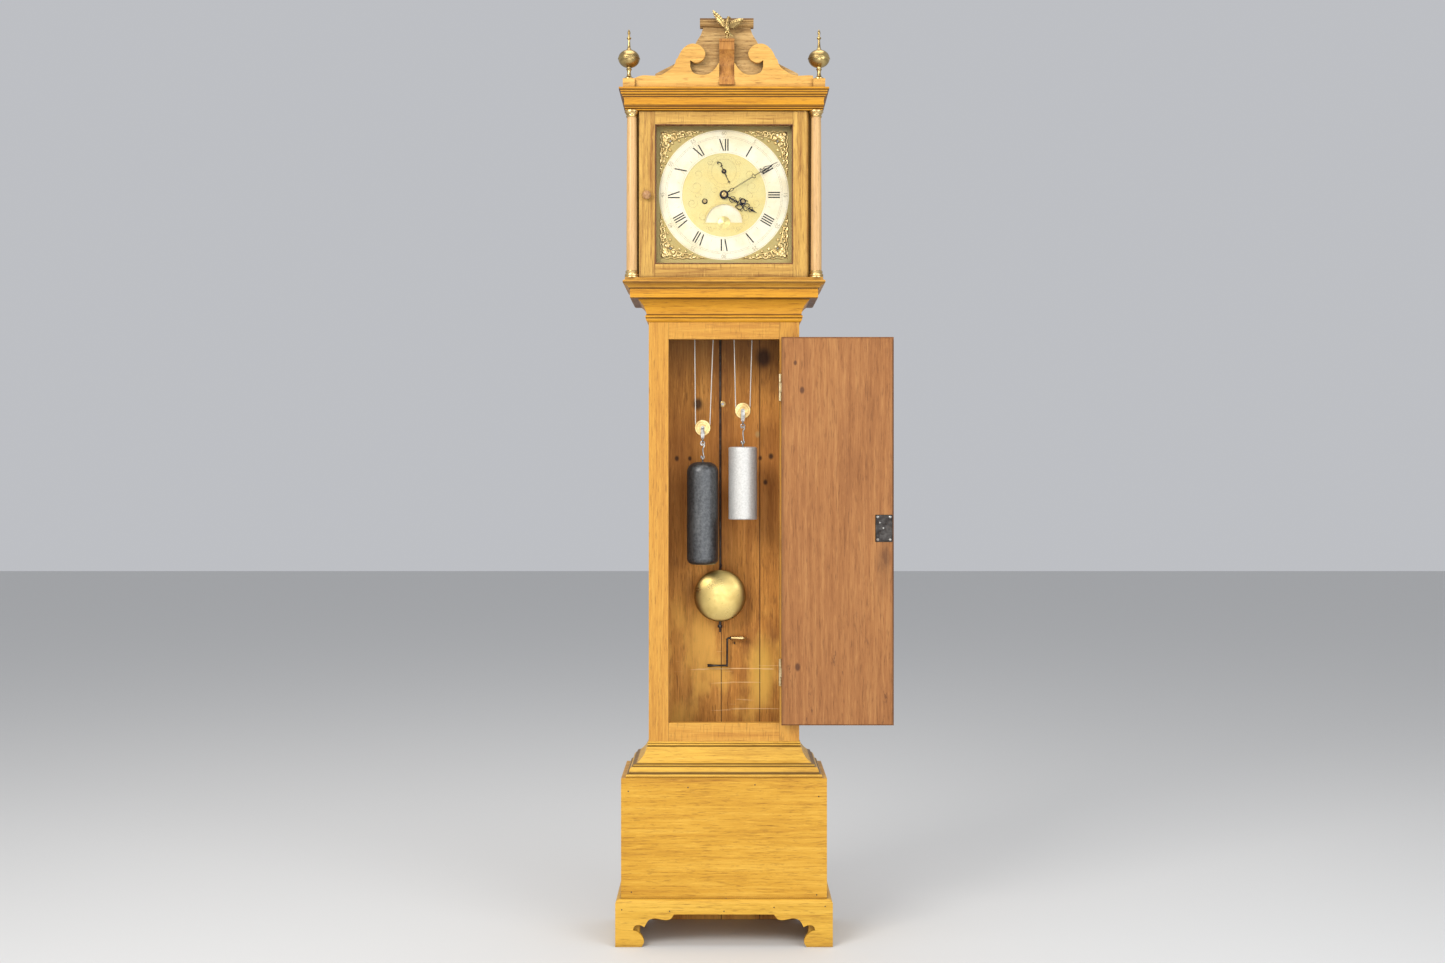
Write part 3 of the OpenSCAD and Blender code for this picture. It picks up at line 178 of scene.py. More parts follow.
class Shape:
    """Collects vertices and faces of several forms, in millimetres, into one mesh."""

    def __init__(self):
        self.verts = []
        self.faces = []

    def add(self, verts, faces, at=Matrix()):
        start = len(self.verts)
        self.verts += [at @ Vector(v) for v in verts]
        self.faces += [tuple(start + i for i in face) for face in faces]
        return self

    def lathe(self, profile, at=Matrix(), steps=48):
        """Turned form about local Z from [radius, height] points, closed at both ends."""
        verts = [(r * math.cos(a), r * math.sin(a), z) for r, z in profile
                 for a in (2 * math.pi * k / steps for k in range(steps))]
        faces = [(i * steps + k, i * steps + (k + 1) % steps, (i + 1) * steps + (k + 1) % steps,
                  (i + 1) * steps + k) for i in range(len(profile) - 1) for k in range(steps)]
        faces.append(tuple(range(steps))[::-1])
        faces.append(tuple((len(profile) - 1) * steps + k for k in range(steps)))
        return self.add(verts, faces, at)

    def hoop(self, profile, at=Matrix(), steps=96):
        """Turned form whose profile closes on itself, so that it keeps a hole through it."""
        count = len(profile)
        verts = [(r * math.cos(a), r * math.sin(a), z) for r, z in profile
                 for a in (2 * math.pi * k / steps for k in range(steps))]
        faces = [(i * steps + k, i * steps + (k + 1) % steps,
                  (i + 1) % count * steps + (k + 1) % steps, (i + 1) % count * steps + k)
                 for i in range(count) for k in range(steps)]
        return self.add(verts, faces, at)

    def tube(self, route, radius, sides=10, at=Matrix(), flat=1.0):
        """Round bar along a route; radius may be one number or one for each point."""
        points = [Vector(p) for p in route]
        radii = radius if isinstance(radius, (list, tuple)) else [radius] * len(points)
        ways = [(points[min(i + 1, len(points) - 1)] - points[max(i - 1, 0)]).normalized()
                for i in range(len(points))]
        side = ways[0].orthogonal().normalized()
        verts = []
        for point, way, r in zip(points, ways, radii):
            side = (side - way * side.dot(way)).normalized()
            other = way.cross(side)
            verts += [point + (side * math.cos(a) + other * math.sin(a) * flat) * r
                      for a in (2 * math.pi * k / sides for k in range(sides))]
        faces = [(i * sides + k, i * sides + (k + 1) % sides, (i + 1) * sides + (k + 1) % sides,
                  (i + 1) * sides + k) for i in range(len(points) - 1) for k in range(sides)]
        faces.append(tuple(range(sides))[::-1])
        faces.append(tuple((len(points) - 1) * sides + k for k in range(sides)))
        return self.add(verts, faces, at)

    def ball(self, centre, radii, turn=(0, 0, 0), steps=16):
        """Ellipsoid with the given half sizes."""
        from_turn = (Matrix.Rotation(turn[2], 4, "Z") @ Matrix.Rotation(turn[1], 4, "Y")
                     @ Matrix.Rotation(turn[0], 4, "X"))
        at = Matrix.Translation(centre) @ from_turn @ Matrix.Diagonal((*radii, 1))
        profile = [(max(math.sin(math.pi * k / steps), 1e-3), -math.cos(math.pi * k / steps))
                   for k in range(steps + 1)]
        return self.lathe(profile, at, steps * 2)

    def slab(self, outline, y, thickness, at=Matrix()):
        """Flat form drawn as seen from the front, [x, z] points, from y - thickness to y."""
        count = len(outline)
        verts = [(x, y - thickness, z) for x, z in outline] + [(x, y, z) for x, z in outline]
        faces = [tuple(range(count)), tuple(range(2 * count - 1, count - 1, -1))]
        faces += [(k, (k + 1) % count, count + (k + 1) % count, count + k) for k in range(count)]
        return self.add(verts, faces, at)

    def box(self, corner_a, corner_b, at=Matrix()):
        (x0, y0, z0), (x1, y1, z1) = corner_a, corner_b
        verts = [(x, y, z) for x in (x0, x1) for y in (y0, y1) for z in (z0, z1)]
        faces = [(0, 1, 3, 2), (4, 6, 7, 5), (0, 4, 5, 1), (2, 3, 7, 6), (0, 2, 6, 4), (1, 5, 7, 3)]
        return self.add(verts, faces, at)

    def strip(self, points, width, y, thickness):
        """Flat band along [x, z] points seen from the front; width is one number or one for each point."""
        count = len(points)
        widths = width if isinstance(width, (list, tuple)) else [width] * count
        closed = (Vector(points[0]) - Vector(points[-1])).length < 1e-6
        left, right = [], []
        for i, (point, w) in enumerate(zip(points, widths)):
            before = points[i - 1] if i else (points[-2] if closed else points[0])
            after = points[i + 1] if i < count - 1 else (points[1] if closed else points[-1])
            way = (Vector(after) - Vector(before)).normalized()
            side = Vector((-way.y, way.x)) * w / 2
            left.append(Vector(point) + side)
            right.append(Vector(point) - side)
        verts = [(p.x, y - d, p.y) for d in (thickness, 0) for row in (left, right) for p in row]
        faces = []
        for i in range(count - 1):
            a, b, c, d = i, count + i, 2 * count + i, 3 * count + i
            faces += [(a, a + 1, b + 1, b), (c, d, d + 1, c + 1), (a, c, c + 1, a + 1),
                      (b, b + 1, d + 1, d)]
        if not closed:
            e = count - 1
            faces += [(0, count, 3 * count, 2 * count), (e, 2 * count + e, 3 * count + e, count + e)]
        return self.add(verts, faces)

    def piece(self, name, body, finish, smooth=True, node=None):
        verts = [Vector(v) * MM for v in self.verts]
        return add_mesh(name, verts, self.faces, body, finish_of(finish), smooth, node)


def spline(points, steps=8):
    """Points on a smooth curve through the given ones."""
    p = [Vector(q) for q in points]
    out = []
    for i in range(len(p) - 1):
        a, b, c, d = p[max(i - 1, 0)], p[i], p[i + 1], p[min(i + 2, len(p) - 1)]
        for k in range(steps):
            t = k / steps
            out.append(0.5 * (2 * b + (c - a) * t + (2 * a - 5 * b + 4 * c - d) * t * t
                              + (3 * b - a - 3 * c + d) * t ** 3))
    return out + [p[-1]]


def arc(centre, radius, start, end, steps=16):
    """Points [x, z] on an arc, with angles in degrees from +X towards +Z."""
    return [(centre[0] + radius * math.cos(math.radians(start + (end - start) * k / steps)),
             centre[1] + radius * math.sin(math.radians(start + (end - start) * k / steps)))
            for k in range(steps + 1)]


def cast(piece, voxel, smooth_rounds=2):
    """Melts a piece's overlapping forms into one cast skin."""
    remesh = piece.modifiers.new("cast_skin", "REMESH")
    remesh.mode = "VOXEL"
    remesh.voxel_size = voxel
    relax = piece.modifiers.new("cast_soften", "SMOOTH")
    relax.iterations = smooth_rounds
    relax.factor = 0.5
    graph = bpy.context.evaluated_depsgraph_get()
    mesh = bpy.data.meshes.new_from_object(piece.evaluated_get(graph))
    piece.modifiers.clear()
    piece.data = mesh
    for face in mesh.polygons:
        face.use_smooth = True
    return piece


ALONG_Y = Matrix.Rotation(math.radians(90), 4, "X")


def facing(x, y, z):
    """Stands a turned form at a place, with its local Z pointing to the front."""
    return Matrix.Translation((x, y, z)) @ ALONG_Y


# ---- Finishes ----

class Finish:
    """Short ways to lay out a procedural material's nodes."""

    def __init__(self, name, roughness=0.5, metallic=0.0, specular=0.5):
        self.material = bpy.data.materials.new(name)
        self.material.use_nodes = True
        self.tree = self.material.node_tree
        self.nodes = self.tree.nodes
        self.shader = self.nodes["Principled BSDF"]
        self.shader.inputs["Roughness"].default_value = roughness
        self.shader.inputs["Metallic"].default_value = metallic
        self.shader.inputs["Specular IOR Level"].default_value = specular
        self.place = self.nodes.new("ShaderNodeTexCoord").outputs["Object"]

    def link(self, source, target):
        self.tree.links.new(source, target)

    def put(self, socket, value):
        if isinstance(value, bpy.types.NodeSocket):
            self.link(value, socket)
        else:
            socket.default_value = value

    def stretch(self, scale, turn=(0, 0, 0), shift=(0, 0, 0), source=None):
        node = self.nodes.new("ShaderNodeMapping")
        self.link(source or self.place, node.inputs["Vector"])
        node.inputs["Scale"].default_value = scale
        node.inputs["Rotation"].default_value = turn
        node.inputs["Location"].default_value = shift
        return node.outputs["Vector"]

    def noise(self, scale, vector=None, detail=4.0, roughness=0.55, distortion=0.0):
        node = self.nodes.new("ShaderNodeTexNoise")
        self.link(vector or self.place, node.inputs["Vector"])
        node.inputs["Scale"].default_value = scale
        node.inputs["Detail"].default_value = detail
        node.inputs["Roughness"].default_value = roughness
        node.inputs["Distortion"].default_value = distortion
        return node.outputs["Fac"]

    def bands(self, scale, vector, distortion=4.0, detail=3.0, kind="BANDS"):
        node = self.nodes.new("ShaderNodeTexWave")
        node.wave_type = kind
        self.link(vector, node.inputs["Vector"])
        node.inputs["Scale"].default_value = scale
        node.inputs["Distortion"].default_value = distortion
        node.inputs["Detail"].default_value = detail
        return node.outputs["Fac"]

    def cells(self, scale, vector=None, feature="F1"):
        node = self.nodes.new("ShaderNodeTexVoronoi")
        node.feature = feature
        self.link(vector or self.place, node.inputs["Vector"])
        node.inputs["Scale"].default_value = scale
        return node.outputs["Distance"]

    def math(self, operation, a, b=0.0, clamp=False):
        node = self.nodes.new("ShaderNodeMath")
        node.operation = operation
        node.use_clamp = clamp
        self.put(node.inputs[0], a)
        self.put(node.inputs[1], b)
        return node.outputs[0]

    def ramp(self, value, stops):
        node = self.nodes.new("ShaderNodeValToRGB")
        self.link(value, node.inputs["Fac"])
        marks = node.color_ramp.elements
        while len(marks) < len(stops):
            marks.new(0.5)
        for mark, (position, colour) in zip(marks, stops):
            mark.position = position
            mark.color = (*colour, 1.0) if len(colour) == 3 else colour
        return node.outputs["Color"]

    def level(self, value, start, end, low_value=0.0, high_value=1.0):
        """Maps a stretch of values to a smooth step."""
        node = self.nodes.new("ShaderNodeMapRange")
        node.interpolation_type = "SMOOTHSTEP"
        self.put(node.inputs["Value"], value)
        node.inputs["From Min"].default_value = start
        node.inputs["From Max"].default_value = end
        node.inputs["To Min"].default_value = low_value
        node.inputs["To Max"].default_value = high_value
        return node.outputs["Result"]

    def mix(self, amount, a, b, mode="MIX"):
        node = self.nodes.new("ShaderNodeMix")
        node.data_type = "RGBA"
        node.blend_type = mode
        self.put(node.inputs["Factor"], amount)
        self.put(node.inputs["A"], a if isinstance(a, bpy.types.NodeSocket) else (*a, 1.0))
        self.put(node.inputs["B"], b if isinstance(b, bpy.types.NodeSocket) else (*b, 1.0))
        return node.outputs["Result"]

    def mix_vectors(self, amount, a, b):
        node = self.nodes.new("ShaderNodeMix")
        node.data_type = "VECTOR"
        self.put(node.inputs["Factor"], amount)
        self.link(a, node.inputs["A"])
        self.link(b, node.inputs["B"])
        return node.outputs["Result"]

    def hollows(self, distance, amount):
        """How far a place lies in a groove or corner, for the painted shade laid there."""
        node = self.nodes.new("ShaderNodeAmbientOcclusion")
        node.samples = 6
        node.inputs["Distance"].default_value = distance
        return self.level(node.outputs["AO"], 0.42, 0.92, amount, 0.0)

    def axis(self, name):
        """One coordinate of the place, in metres."""
        node = self.nodes.new("ShaderNodeSeparateXYZ")
        self.link(self.place, node.inputs["Vector"])
        return node.outputs[name]

    def spot(self, centre, radii, soft=0.6):
        """1 inside an ellipsoid and 0 outside it, with a soft edge."""
        moved = self.nodes.new("ShaderNodeVectorMath")
        moved.operation = "SUBTRACT"
        self.link(self.place, moved.inputs[0])
        moved.inputs[1].default_value = centre
        scaled = self.nodes.new("ShaderNodeVectorMath")
        scaled.operation = "DIVIDE"
        self.link(moved.outputs["Vector"], scaled.inputs[0])
        scaled.inputs[1].default_value = radii
        length = self.nodes.new("ShaderNodeVectorMath")
        length.operation = "LENGTH"
        self.link(scaled.outputs["Vector"], length.inputs[0])
        return self.level(length.outputs["Value"], 1.0 - soft, 1.0, 1.0, 0.0)

    def bump(self, height, distance, strength=1.0):
        node = self.nodes.new("ShaderNodeBump")
        node.inputs["Strength"].default_value = strength
        node.inputs["Distance"].default_value = distance
        self.link(height, node.inputs["Height"])
        if self.shader.inputs["Normal"].is_linked:
            self.link(self.shader.inputs["Normal"].links[0].from_socket, node.inputs["Normal"])
        self.link(node.outputs["Normal"], self.shader.inputs["Normal"])

    def colour(self, value):
        self.put(self.shader.inputs["Base Color"], value)

    def skin(self):
        """The colour laid so far."""
        return self.shader.inputs["Base Color"].links[0].from_socket

    def tint(self, amount, colour):
        """Lays another colour over the skin."""
        self.colour(self.mix(amount, self.skin(), colour))

    def rough(self, value):
        self.put(self.shader.inputs["Roughness"], value)
        return self


GRAIN_SCALES = {"X": (0.045, 1.0, 1.0), "Y": (1.0, 0.045, 1.0), "Z": (1.0, 1.0, 0.045)}


def oak(name, pale, mid, dark, grain="Z", shift=0.0, figure=0.3, rough=0.42, coat=0.06, contrast=1.0,
        rails=0.0, hollow_shade=0.0, quirks=()):
    """Waxed oak: fine straight grain, a little broad figure, open pores and uneven age.

    With rails, the grain lies across nearer the centre line than that many metres. Painted shadow lines lie
    in the quirks of a moulding, at these heights in millimetres, and painted shade darkens grooves and
    corners.
    """
    finish = Finish(name, roughness=rough, specular=0.22)
    finish.shader.inputs["Coat Weight"].default_value = coat
    finish.shader.inputs["Coat Roughness"].default_value = 0.3
    along = finish.stretch(GRAIN_SCALES[grain], shift=(shift, shift * 0.7, shift * 1.3))
    side = finish.math("ABSOLUTE", finish.axis("X"))
    if rails:
        across = finish.stretch(GRAIN_SCALES["X"], shift=(shift * 2.0, shift, shift * 0.4))
        along = finish.mix_vectors(finish.math("LESS_THAN", side, rails), along, across)
    age = finish.noise(4.5, finish.stretch([0.45 + 0.55 * s for s in GRAIN_SCALES[grain]],
                                           shift=(shift, 1, 2)), 4.0)
    broad = finish.noise(17.0, along, detail=4.0, roughness=0.6, distortion=0.9)
    streaks = finish.noise(105.0, along, detail=6.0, roughness=0.7)
    fibres = finish.noise(390.0, along, detail=4.0, roughness=0.75)
    tone = finish.math("ADD", finish.math("MULTIPLY", broad, figure),
                       finish.math("MULTIPLY", streaks, 0.72 - figure))
    tone = finish.math("ADD", tone, finish.math("MULTIPLY", fibres, 0.28))
    spread = finish.math("MULTIPLY", finish.math("SUBTRACT", tone, 0.5), 2.0 * contrast)
    tone = finish.math("ADD", spread, 0.5)
    tone = finish.math("ADD", tone, finish.math("MULTIPLY", finish.math("SUBTRACT", age, 0.5), 0.5),
                       clamp=True)
    wood = finish.ramp(tone, [(0.20, pale), (0.48, mid), (0.84, dark)])
    pores = finish.level(fibres, 0.57, 0.69)
    wood = finish.mix(finish.math("MULTIPLY", pores, 0.46 * contrast), wood, [c * 0.5 for c in dark])
    short = finish.noise(66.0, finish.stretch([4.6 * s ** 0.72 for s in GRAIN_SCALES[grain]],
                                              shift=(shift, 7, 2)), 3.0)
    wood = finish.mix(finish.level(short, 0.57, 0.69, 0.0, 0.42 * contrast), wood, [c * 0.62 for c in dark])
    wood = finish.mix(finish.level(short, 0.42, 0.30, 0.0, 0.30 * contrast), wood,
                      [min(1.0, c * 1.2) for c in pale])
    marks = finish.noise(75.0, finish.stretch((1.0, 1.0, 0.55), shift=(shift, 3, 5)), detail=8.0,
                         roughness=0.7)
    wood = finish.mix(finish.level(marks, 0.69, 0.76, 0.0, 0.45), wood, [c * 0.55 for c in dark])
    if rails:
        joint = finish.math("ABSOLUTE", finish.math("SUBTRACT", side, rails))
        wood = finish.mix(finish.level(joint, 0.0003, 0.0010, 0.45, 0.0), wood, [c * 0.3 for c in dark])
    # Painted shade in grooves and corners, from an occlusion mask.
    if hollow_shade:
        wood = finish.mix(finish.hollows(0.014, hollow_shade), wood, [c * 0.4 for c in dark])
    # Painted shadow lines along the quirks of a moulding.
    for quirk in quirks:
        line = finish.math("ABSOLUTE", finish.math("SUBTRACT", finish.axis("Z"), quirk * MM))
        wood = finish.mix(finish.level(line, 0.0007, 0.0019, 0.8, 0.0), wood, [c * 0.25 for c in dark])
    finish.colour(wood)
    finish.rough(finish.level(streaks, 0.2, 0.8, rough - 0.08, rough + 0.12))
    finish.bump(finish.math("SUBTRACT", streaks, finish.math("MULTIPLY", pores, 0.9)), 0.00028, 0.5)
    return finish


def aged_brass(name, bright, dull, scale=1.0, rough=0.3, stain=0.55):
    """Brass with handling wear: brighter and darker clouds, fine scratches and small spots."""
    finish = Finish(name, roughness=rough, metallic=1.0)
    clouds = finish.noise(38.0 * scale, detail=6.0, roughness=0.62)
    spots = finish.noise(240.0 * scale, detail=3.0)
    scratches = finish.noise(90.0 * scale, finish.stretch((1.0, 1.0, 14.0), turn=(0.3, 0.7, 0.1)), 4.0)
    skin = finish.mix(finish.level(clouds, 0.36, 0.66), bright, dull)
    skin = finish.mix(finish.level(spots, 0.62, 0.76, 0.0, stain), skin, [c * 0.42 for c in dull])
    finish.colour(skin)
    finish.rough(finish.math("ADD", finish.level(clouds, 0.3, 0.7, rough - 0.06, rough + 0.14),
                             finish.level(scratches, 0.5, 0.8, 0.0, 0.08)))
    finish.bump(scratches, 0.00006, 0.4)
    return finish


def worn_steel(name, bright, dull, rough=0.34):
    """Steel gone grey, with a little brown rust in its clouds."""
    finish = Finish(name, roughness=rough, metallic=0.9)
    clouds = finish.noise(70.0, detail=6.0, roughness=0.65)
    rust = finish.noise(160.0, detail=5.0)
    skin = finish.mix(finish.level(clouds, 0.35, 0.65), bright, dull)
    finish.colour(finish.mix(finish.level(rust, 0.6, 0.78, 0.0, 0.6), skin, (0.13, 0.065, 0.03)))
    finish.rough(finish.level(clouds, 0.3, 0.7, rough - 0.08, rough + 0.2))
    finish.bump(rust, 0.0001, 0.3)
    return finish


FINISHES = {}


def finish_of(key):
    """Finish with this key, made when it is first asked for."""
    if key not in FINISHES:
        FINISHES[key] = MAKERS[key]().material
    return FINISHES[key]


def base_oak():
    """Front and sides of the base: bright gold, grain lying across, with nail holes and marks."""
    finish = oak("base_oak", (0.70, 0.40, 0.055), (0.575, 0.295, 0.026), (0.36, 0.150, 0.014), "X", 3.1,
                 0.34, contrast=0.95, hollow_shade=0.7)
    dashes = finish.noise(250.0, finish.stretch((0.16, 1.0, 1.0), shift=(2, 0, 1)), detail=5.0,
                          roughness=0.75)
    finish.tint(finish.level(dashes, 0.58, 0.68, 0.0, 0.5), (0.24, 0.095, 0.012))
    marks = finish.noise(26.0, finish.stretch((0.3, 1, 1)), detail=8.0)
    finish.tint(finish.level(marks, 0.66, 0.78, 0.0, 0.4), (0.17, 0.065, 0.014))
    return finish


def plinth_oak():
    return oak("plinth_oak", (0.72, 0.43, 0.065), (0.604, 0.333, 0.036), (0.36, 0.155, 0.018), "X", 6.4,
               0.35, hollow_shade=0.5)


def frame_oak():
    """Stiles and rails of the trunk: quiet grain, upright in the stiles and across in the rails."""
    return oak("frame_oak", (0.64, 0.345, 0.060), (0.555, 0.265, 0.040), (0.385, 0.155, 0.024), "Z", 1.7,
               0.25, contrast=1.1, rails=FRAME_OPENING)


def moulding_oak():
    """Cornice and throat: deeper gold, with painted shade in the grooves and painted shadow lines in the
    quirks.
    """
    return oak("moulding_oak", (0.66, 0.32, 0.024), (0.565, 0.252, 0.014), (0.31, 0.105, 0.008), "X", 2.3,
               0.25, hollow_shade=0.85,
               quirks=([low("throat_moulding").z + dz for dz in (9.2, 16.6, 49.8)]
                       + [low("hood_cornice").z + dz for dz in CORNICE_QUIRKS]))


def base_moulding_oak():
    """Moulding on the base: paler and brighter."""
    return oak("base_moulding_oak", (0.74, 0.44, 0.07), (0.64, 0.365, 0.05), (0.38, 0.17, 0.02), "X", 8.8,
               0.25, contrast=0.9, hollow_shade=0.75, quirks=[low("base_moulding").z + dz for dz in BASE_QUIRKS])


def hood_moulding_oak():
    """Moulding round the foot of the hood."""
    return oak("hood_moulding_oak", (0.60, 0.34, 0.048), (0.50, 0.245, 0.030), (0.26, 0.095, 0.012), "X",
               5.8, 0.25, hollow_shade=0.85, quirks=[low("hood_base_moulding").z + dz for dz in (0.4, 11.8)])


def hood_oak():
    """Hood: strong fine upright grain, with dark pores."""
    return oak("hood_oak", (0.62, 0.375, 0.09), (0.49, 0.272, 0.055), (0.27, 0.115, 0.022), "Z", 4.9, 0.22,
               contrast=1.35, hollow_shade=0.5)


def hood_door_oak():
    """Hood door: the same oak, with the grain across in its rails."""
    return oak("hood_door_oak", (0.63, 0.38, 0.095), (0.495, 0.28, 0.062), (0.27, 0.115, 0.024), "Z", 7.1,
               0.22, contrast=1.35, rails=HOOD_OPENING, hollow_shade=0.6)


def crest_oak():
    return oak("crest_oak", (0.73, 0.43, 0.12), (0.61, 0.335, 0.078), (0.34, 0.145, 0.032), "X", 7.7, 0.42,
               contrast=1.1, hollow_shade=0.6)


def corbel_oak():
    """Block in the middle of the crest: darker and redder."""
    return oak("corbel_oak", (0.54, 0.27, 0.065), (0.42, 0.185, 0.042), (0.20, 0.07, 0.018), "Z", 1.9, 0.35,
               hollow_shade=0.7)


def tablet_oak():
    """Thin coarse board behind the crest, mottled, with a dark upper edge."""
    finish = oak("tablet_oak", (0.58, 0.385, 0.16), (0.43, 0.262, 0.095), (0.20, 0.10, 0.032), "X", 9.2,
                 0.45, rough=0.6, contrast=1.4, hollow_shade=0.6)
    blotch = finish.noise(70.0, finish.stretch((0.6, 1.0, 1.0)), detail=7.0, roughness=0.75)
    finish.tint(finish.level(blotch, 0.52, 0.66, 0.0, 0.5), (0.17, 0.085, 0.03))
    top = high("pediment_tablet").z * MM
    cap = finish.level(finish.axis("Z"), top - 0.006, top - 0.003)
    finish.tint(finish.math("MULTIPLY", cap, 0.7), (0.10, 0.042, 0.016))
    ripple = finish.noise(150.0, finish.stretch((0.5, 1.0, 1.0)), detail=6.0, roughness=0.8)
    finish.bump(ripple, 0.0009, 0.6)
    return finish


def door_oak():
    """Trunk door: golden brown and unpolished on its inner face, waxed gold on its outer one."""
    finish = oak("door_oak", (0.42, 0.195, 0.062), (0.322, 0.132, 0.042), (0.205, 0.075, 0.024), "Z", 5.3,
                 0.24, rough=0.58, coat=0.0, contrast=1.0, hollow_shade=0.55)
    door_low, door_high = low("trunk_door") * MM, high("trunk_door") * MM
    cloud = finish.noise(30.0, finish.stretch((1, 1, 0.4)), detail=7.0)
    lock = middle("door_lock") * MM
    edge = finish.math("ABSOLUTE", finish.math("SUBTRACT", finish.axis("X"),
                                               (door_low.x + door_high.x) / 2))
    half = (door_high.x - door_low.x) / 2
    finish.tint(finish.level(edge, half - 0.009, half - 0.001, 0.0, 0.45), (0.11, 0.045, 0.02))
    smudge = finish.spot((lock.x, door_low.y, lock.z - 0.085), (0.026, 0.1, 0.085), 0.9)
    smudge = finish.math("MULTIPLY", smudge, finish.level(cloud, 0.38, 0.60, 0.2, 0.75))
    finish.tint(smudge, (0.075, 0.028, 0.014))
    specks = finish.noise(46.0, finish.stretch((1.0, 1.0, 0.30), shift=(4, 2, 7)), detail=8.0,
                          roughness=0.72)
    lower = finish.level(finish.axis("Z"), door_low.z + 0.42, door_low.z + 0.10)
    specks = finish.math("MULTIPLY", finish.level(specks, 0.60, 0.68), lower)
    finish.tint(finish.math("MULTIPLY", specks, 0.65), (0.085, 0.03, 0.014))
    for dx, dz, r in ((0.035, 0.13, 0.008), (0.045, 0.74, 0.007), (0.030, 0.80, 0.005)):
        knot = finish.spot((door_low.x + dx, door_low.y, door_low.z + dz), (r, 0.05, r * 1.5), 0.6)
        finish.tint(finish.math("MULTIPLY", knot, 0.8), (0.07, 0.026, 0.014))
    grain = finish.noise(105.0, finish.stretch(GRAIN_SCALES["Z"], shift=(5, 1, 2)), detail=6.0,
                         roughness=0.7)
    gold = finish.mix(finish.level(grain, 0.3, 0.7), (0.64, 0.345, 0.060), (0.42, 0.175, 0.026))
    outer = finish.level(finish.axis("Y"), door_high.y - 0.0012, door_high.y - 0.0004)
    finish.tint(outer, gold)
    return finish


def inside_oak():
    return oak("inside_oak", (0.36, 0.175, 0.055), (0.265, 0.118, 0.036), (0.14, 0.055, 0.018), "Z", 8.1,
               0.3, rough=0.6, coat=0.0, hollow_shade=0.5)


def side_oak():
    """Sides of the trunk: brown inside, and waxed gold on their outer faces."""
    finish = oak("side_oak", (0.64, 0.345, 0.060), (0.555, 0.265, 0.040), (0.385, 0.155, 0.024), "Z", 6.6,
                 0.25)
    outer = high("trunk_frame").x
    side = finish.math("ABSOLUTE", finish.axis("X"))
    grain = finish.noise(105.0, finish.stretch(GRAIN_SCALES["Z"]), detail=6.0, roughness=0.7)
    brown = finish.mix(finish.level(grain, 0.3, 0.7), (0.36, 0.175, 0.055), (0.16, 0.064, 0.02))
    inner = finish.level(side, (outer - 1.2) * MM, (outer - 0.4) * MM, 1.0, 0.0)
    finish.tint(inner, brown)
    return finish


def back_oak():
    """Backboard planks: rough sawn and mottled, darkened towards the top by painted shadow, red in the
    middle, ochre and scratched lower down.
    """
    finish = oak("back_oak", (0.78, 0.37, 0.082), (0.57, 0.24, 0.046), (0.31, 0.112, 0.024), "Z", 2.9, 0.42,
                 rough=0.62, coat=0.0, contrast=1.25)
    height = finish.axis("Z")
    smoke = finish.noise(9.0, finish.stretch((1.0, 1.0, 0.45)), detail=7.0, roughness=0.6)
    skin = finish.mix(finish.level(smoke, 0.53, 0.69, 0.0, 0.5), finish.skin(), (0.19, 0.068, 0.022))
    red = finish.math("MULTIPLY", finish.level(height, 0.78, 0.95), finish.level(height, 1.22, 1.10))
    skin = finish.mix(finish.math("MULTIPLY", red, 0.45), skin, (0.46, 0.165, 0.036))
    # Painted shadow: the backboard darkens towards its top.
    skin = finish.mix(finish.level(height, 1.20, 1.36, 0.0, 0.58), skin, (0.14, 0.062, 0.026))
    low_wash = finish.noise(14.0, finish.stretch((0.8, 1.0, 0.35), shift=(3, 1, 4)), detail=6.0)
    wash = finish.math("MULTIPLY", finish.level(low_wash, 0.46, 0.62), finish.level(height, 0.80, 0.64))
    skin = finish.mix(finish.math("MULTIPLY", wash, 0.7), skin, (0.92, 0.50, 0.10))
    ochre = finish.spot((0.090, -0.012, 0.575), (0.036, 0.02, 0.11), 0.8)
    skin = finish.mix(finish.math("MULTIPLY", ochre, 0.75), skin, (0.85, 0.50, 0.09))
    for x, z, r, colour in KNOTS:
        knot = finish.spot((x, -0.012, z), (r, 0.02, r * 1.3), 0.7)
        skin = finish.mix(finish.math("MULTIPLY", knot, 0.85), skin, colour)
    for x in (-0.006, 0.083):
        seam = finish.math("ABSOLUTE", finish.math("SUBTRACT", finish.axis("X"), x))
        skin = finish.mix(finish.level(seam, 0.0006, 0.0016, 0.85, 0.0), skin, (0.035, 0.015, 0.008))
    scratches = finish.noise(46.0, finish.stretch((0.12, 1.0, 3.2), turn=(0, 0.12, 0)), detail=5.0)
    low_part = finish.math("MULTIPLY", finish.level(scratches, 0.66, 0.70),
                           finish.level(height, 0.70, 0.62))
    finish.colour(finish.mix(finish.math("MULTIPLY", low_part, 0.7), skin, (0.95, 0.66, 0.32)))
    return finish


DARK_KNOT = (0.022, 0.010, 0.007)
KNOTS = [(-0.109, 1.067, 0.007, DARK_KNOT), (-0.079, 1.067, 0.006, DARK_KNOT),
         (0.084, 1.068, 0.006, DARK_KNOT), (0.109, 1.072, 0.008, DARK_KNOT),
         (0.096, 1.012, 0.007, DARK_KNOT), (-0.060, 1.193, 0.016, DARK_KNOT),
         (0.092, 1.30, 0.026, (0.03, 0.012, 0.01)), (0.078, 1.123, 0.008, (0.55, 0.33, 0.12))]


def column_wood():
    """Column shafts: smooth fruitwood, warm and even."""
    return oak("column_wood", (0.70, 0.44, 0.19), (0.60, 0.365, 0.15), (0.40, 0.215, 0.08), "Z", 3.7, 0.25,
               rough=0.36, coat=0.2, contrast=0.8)


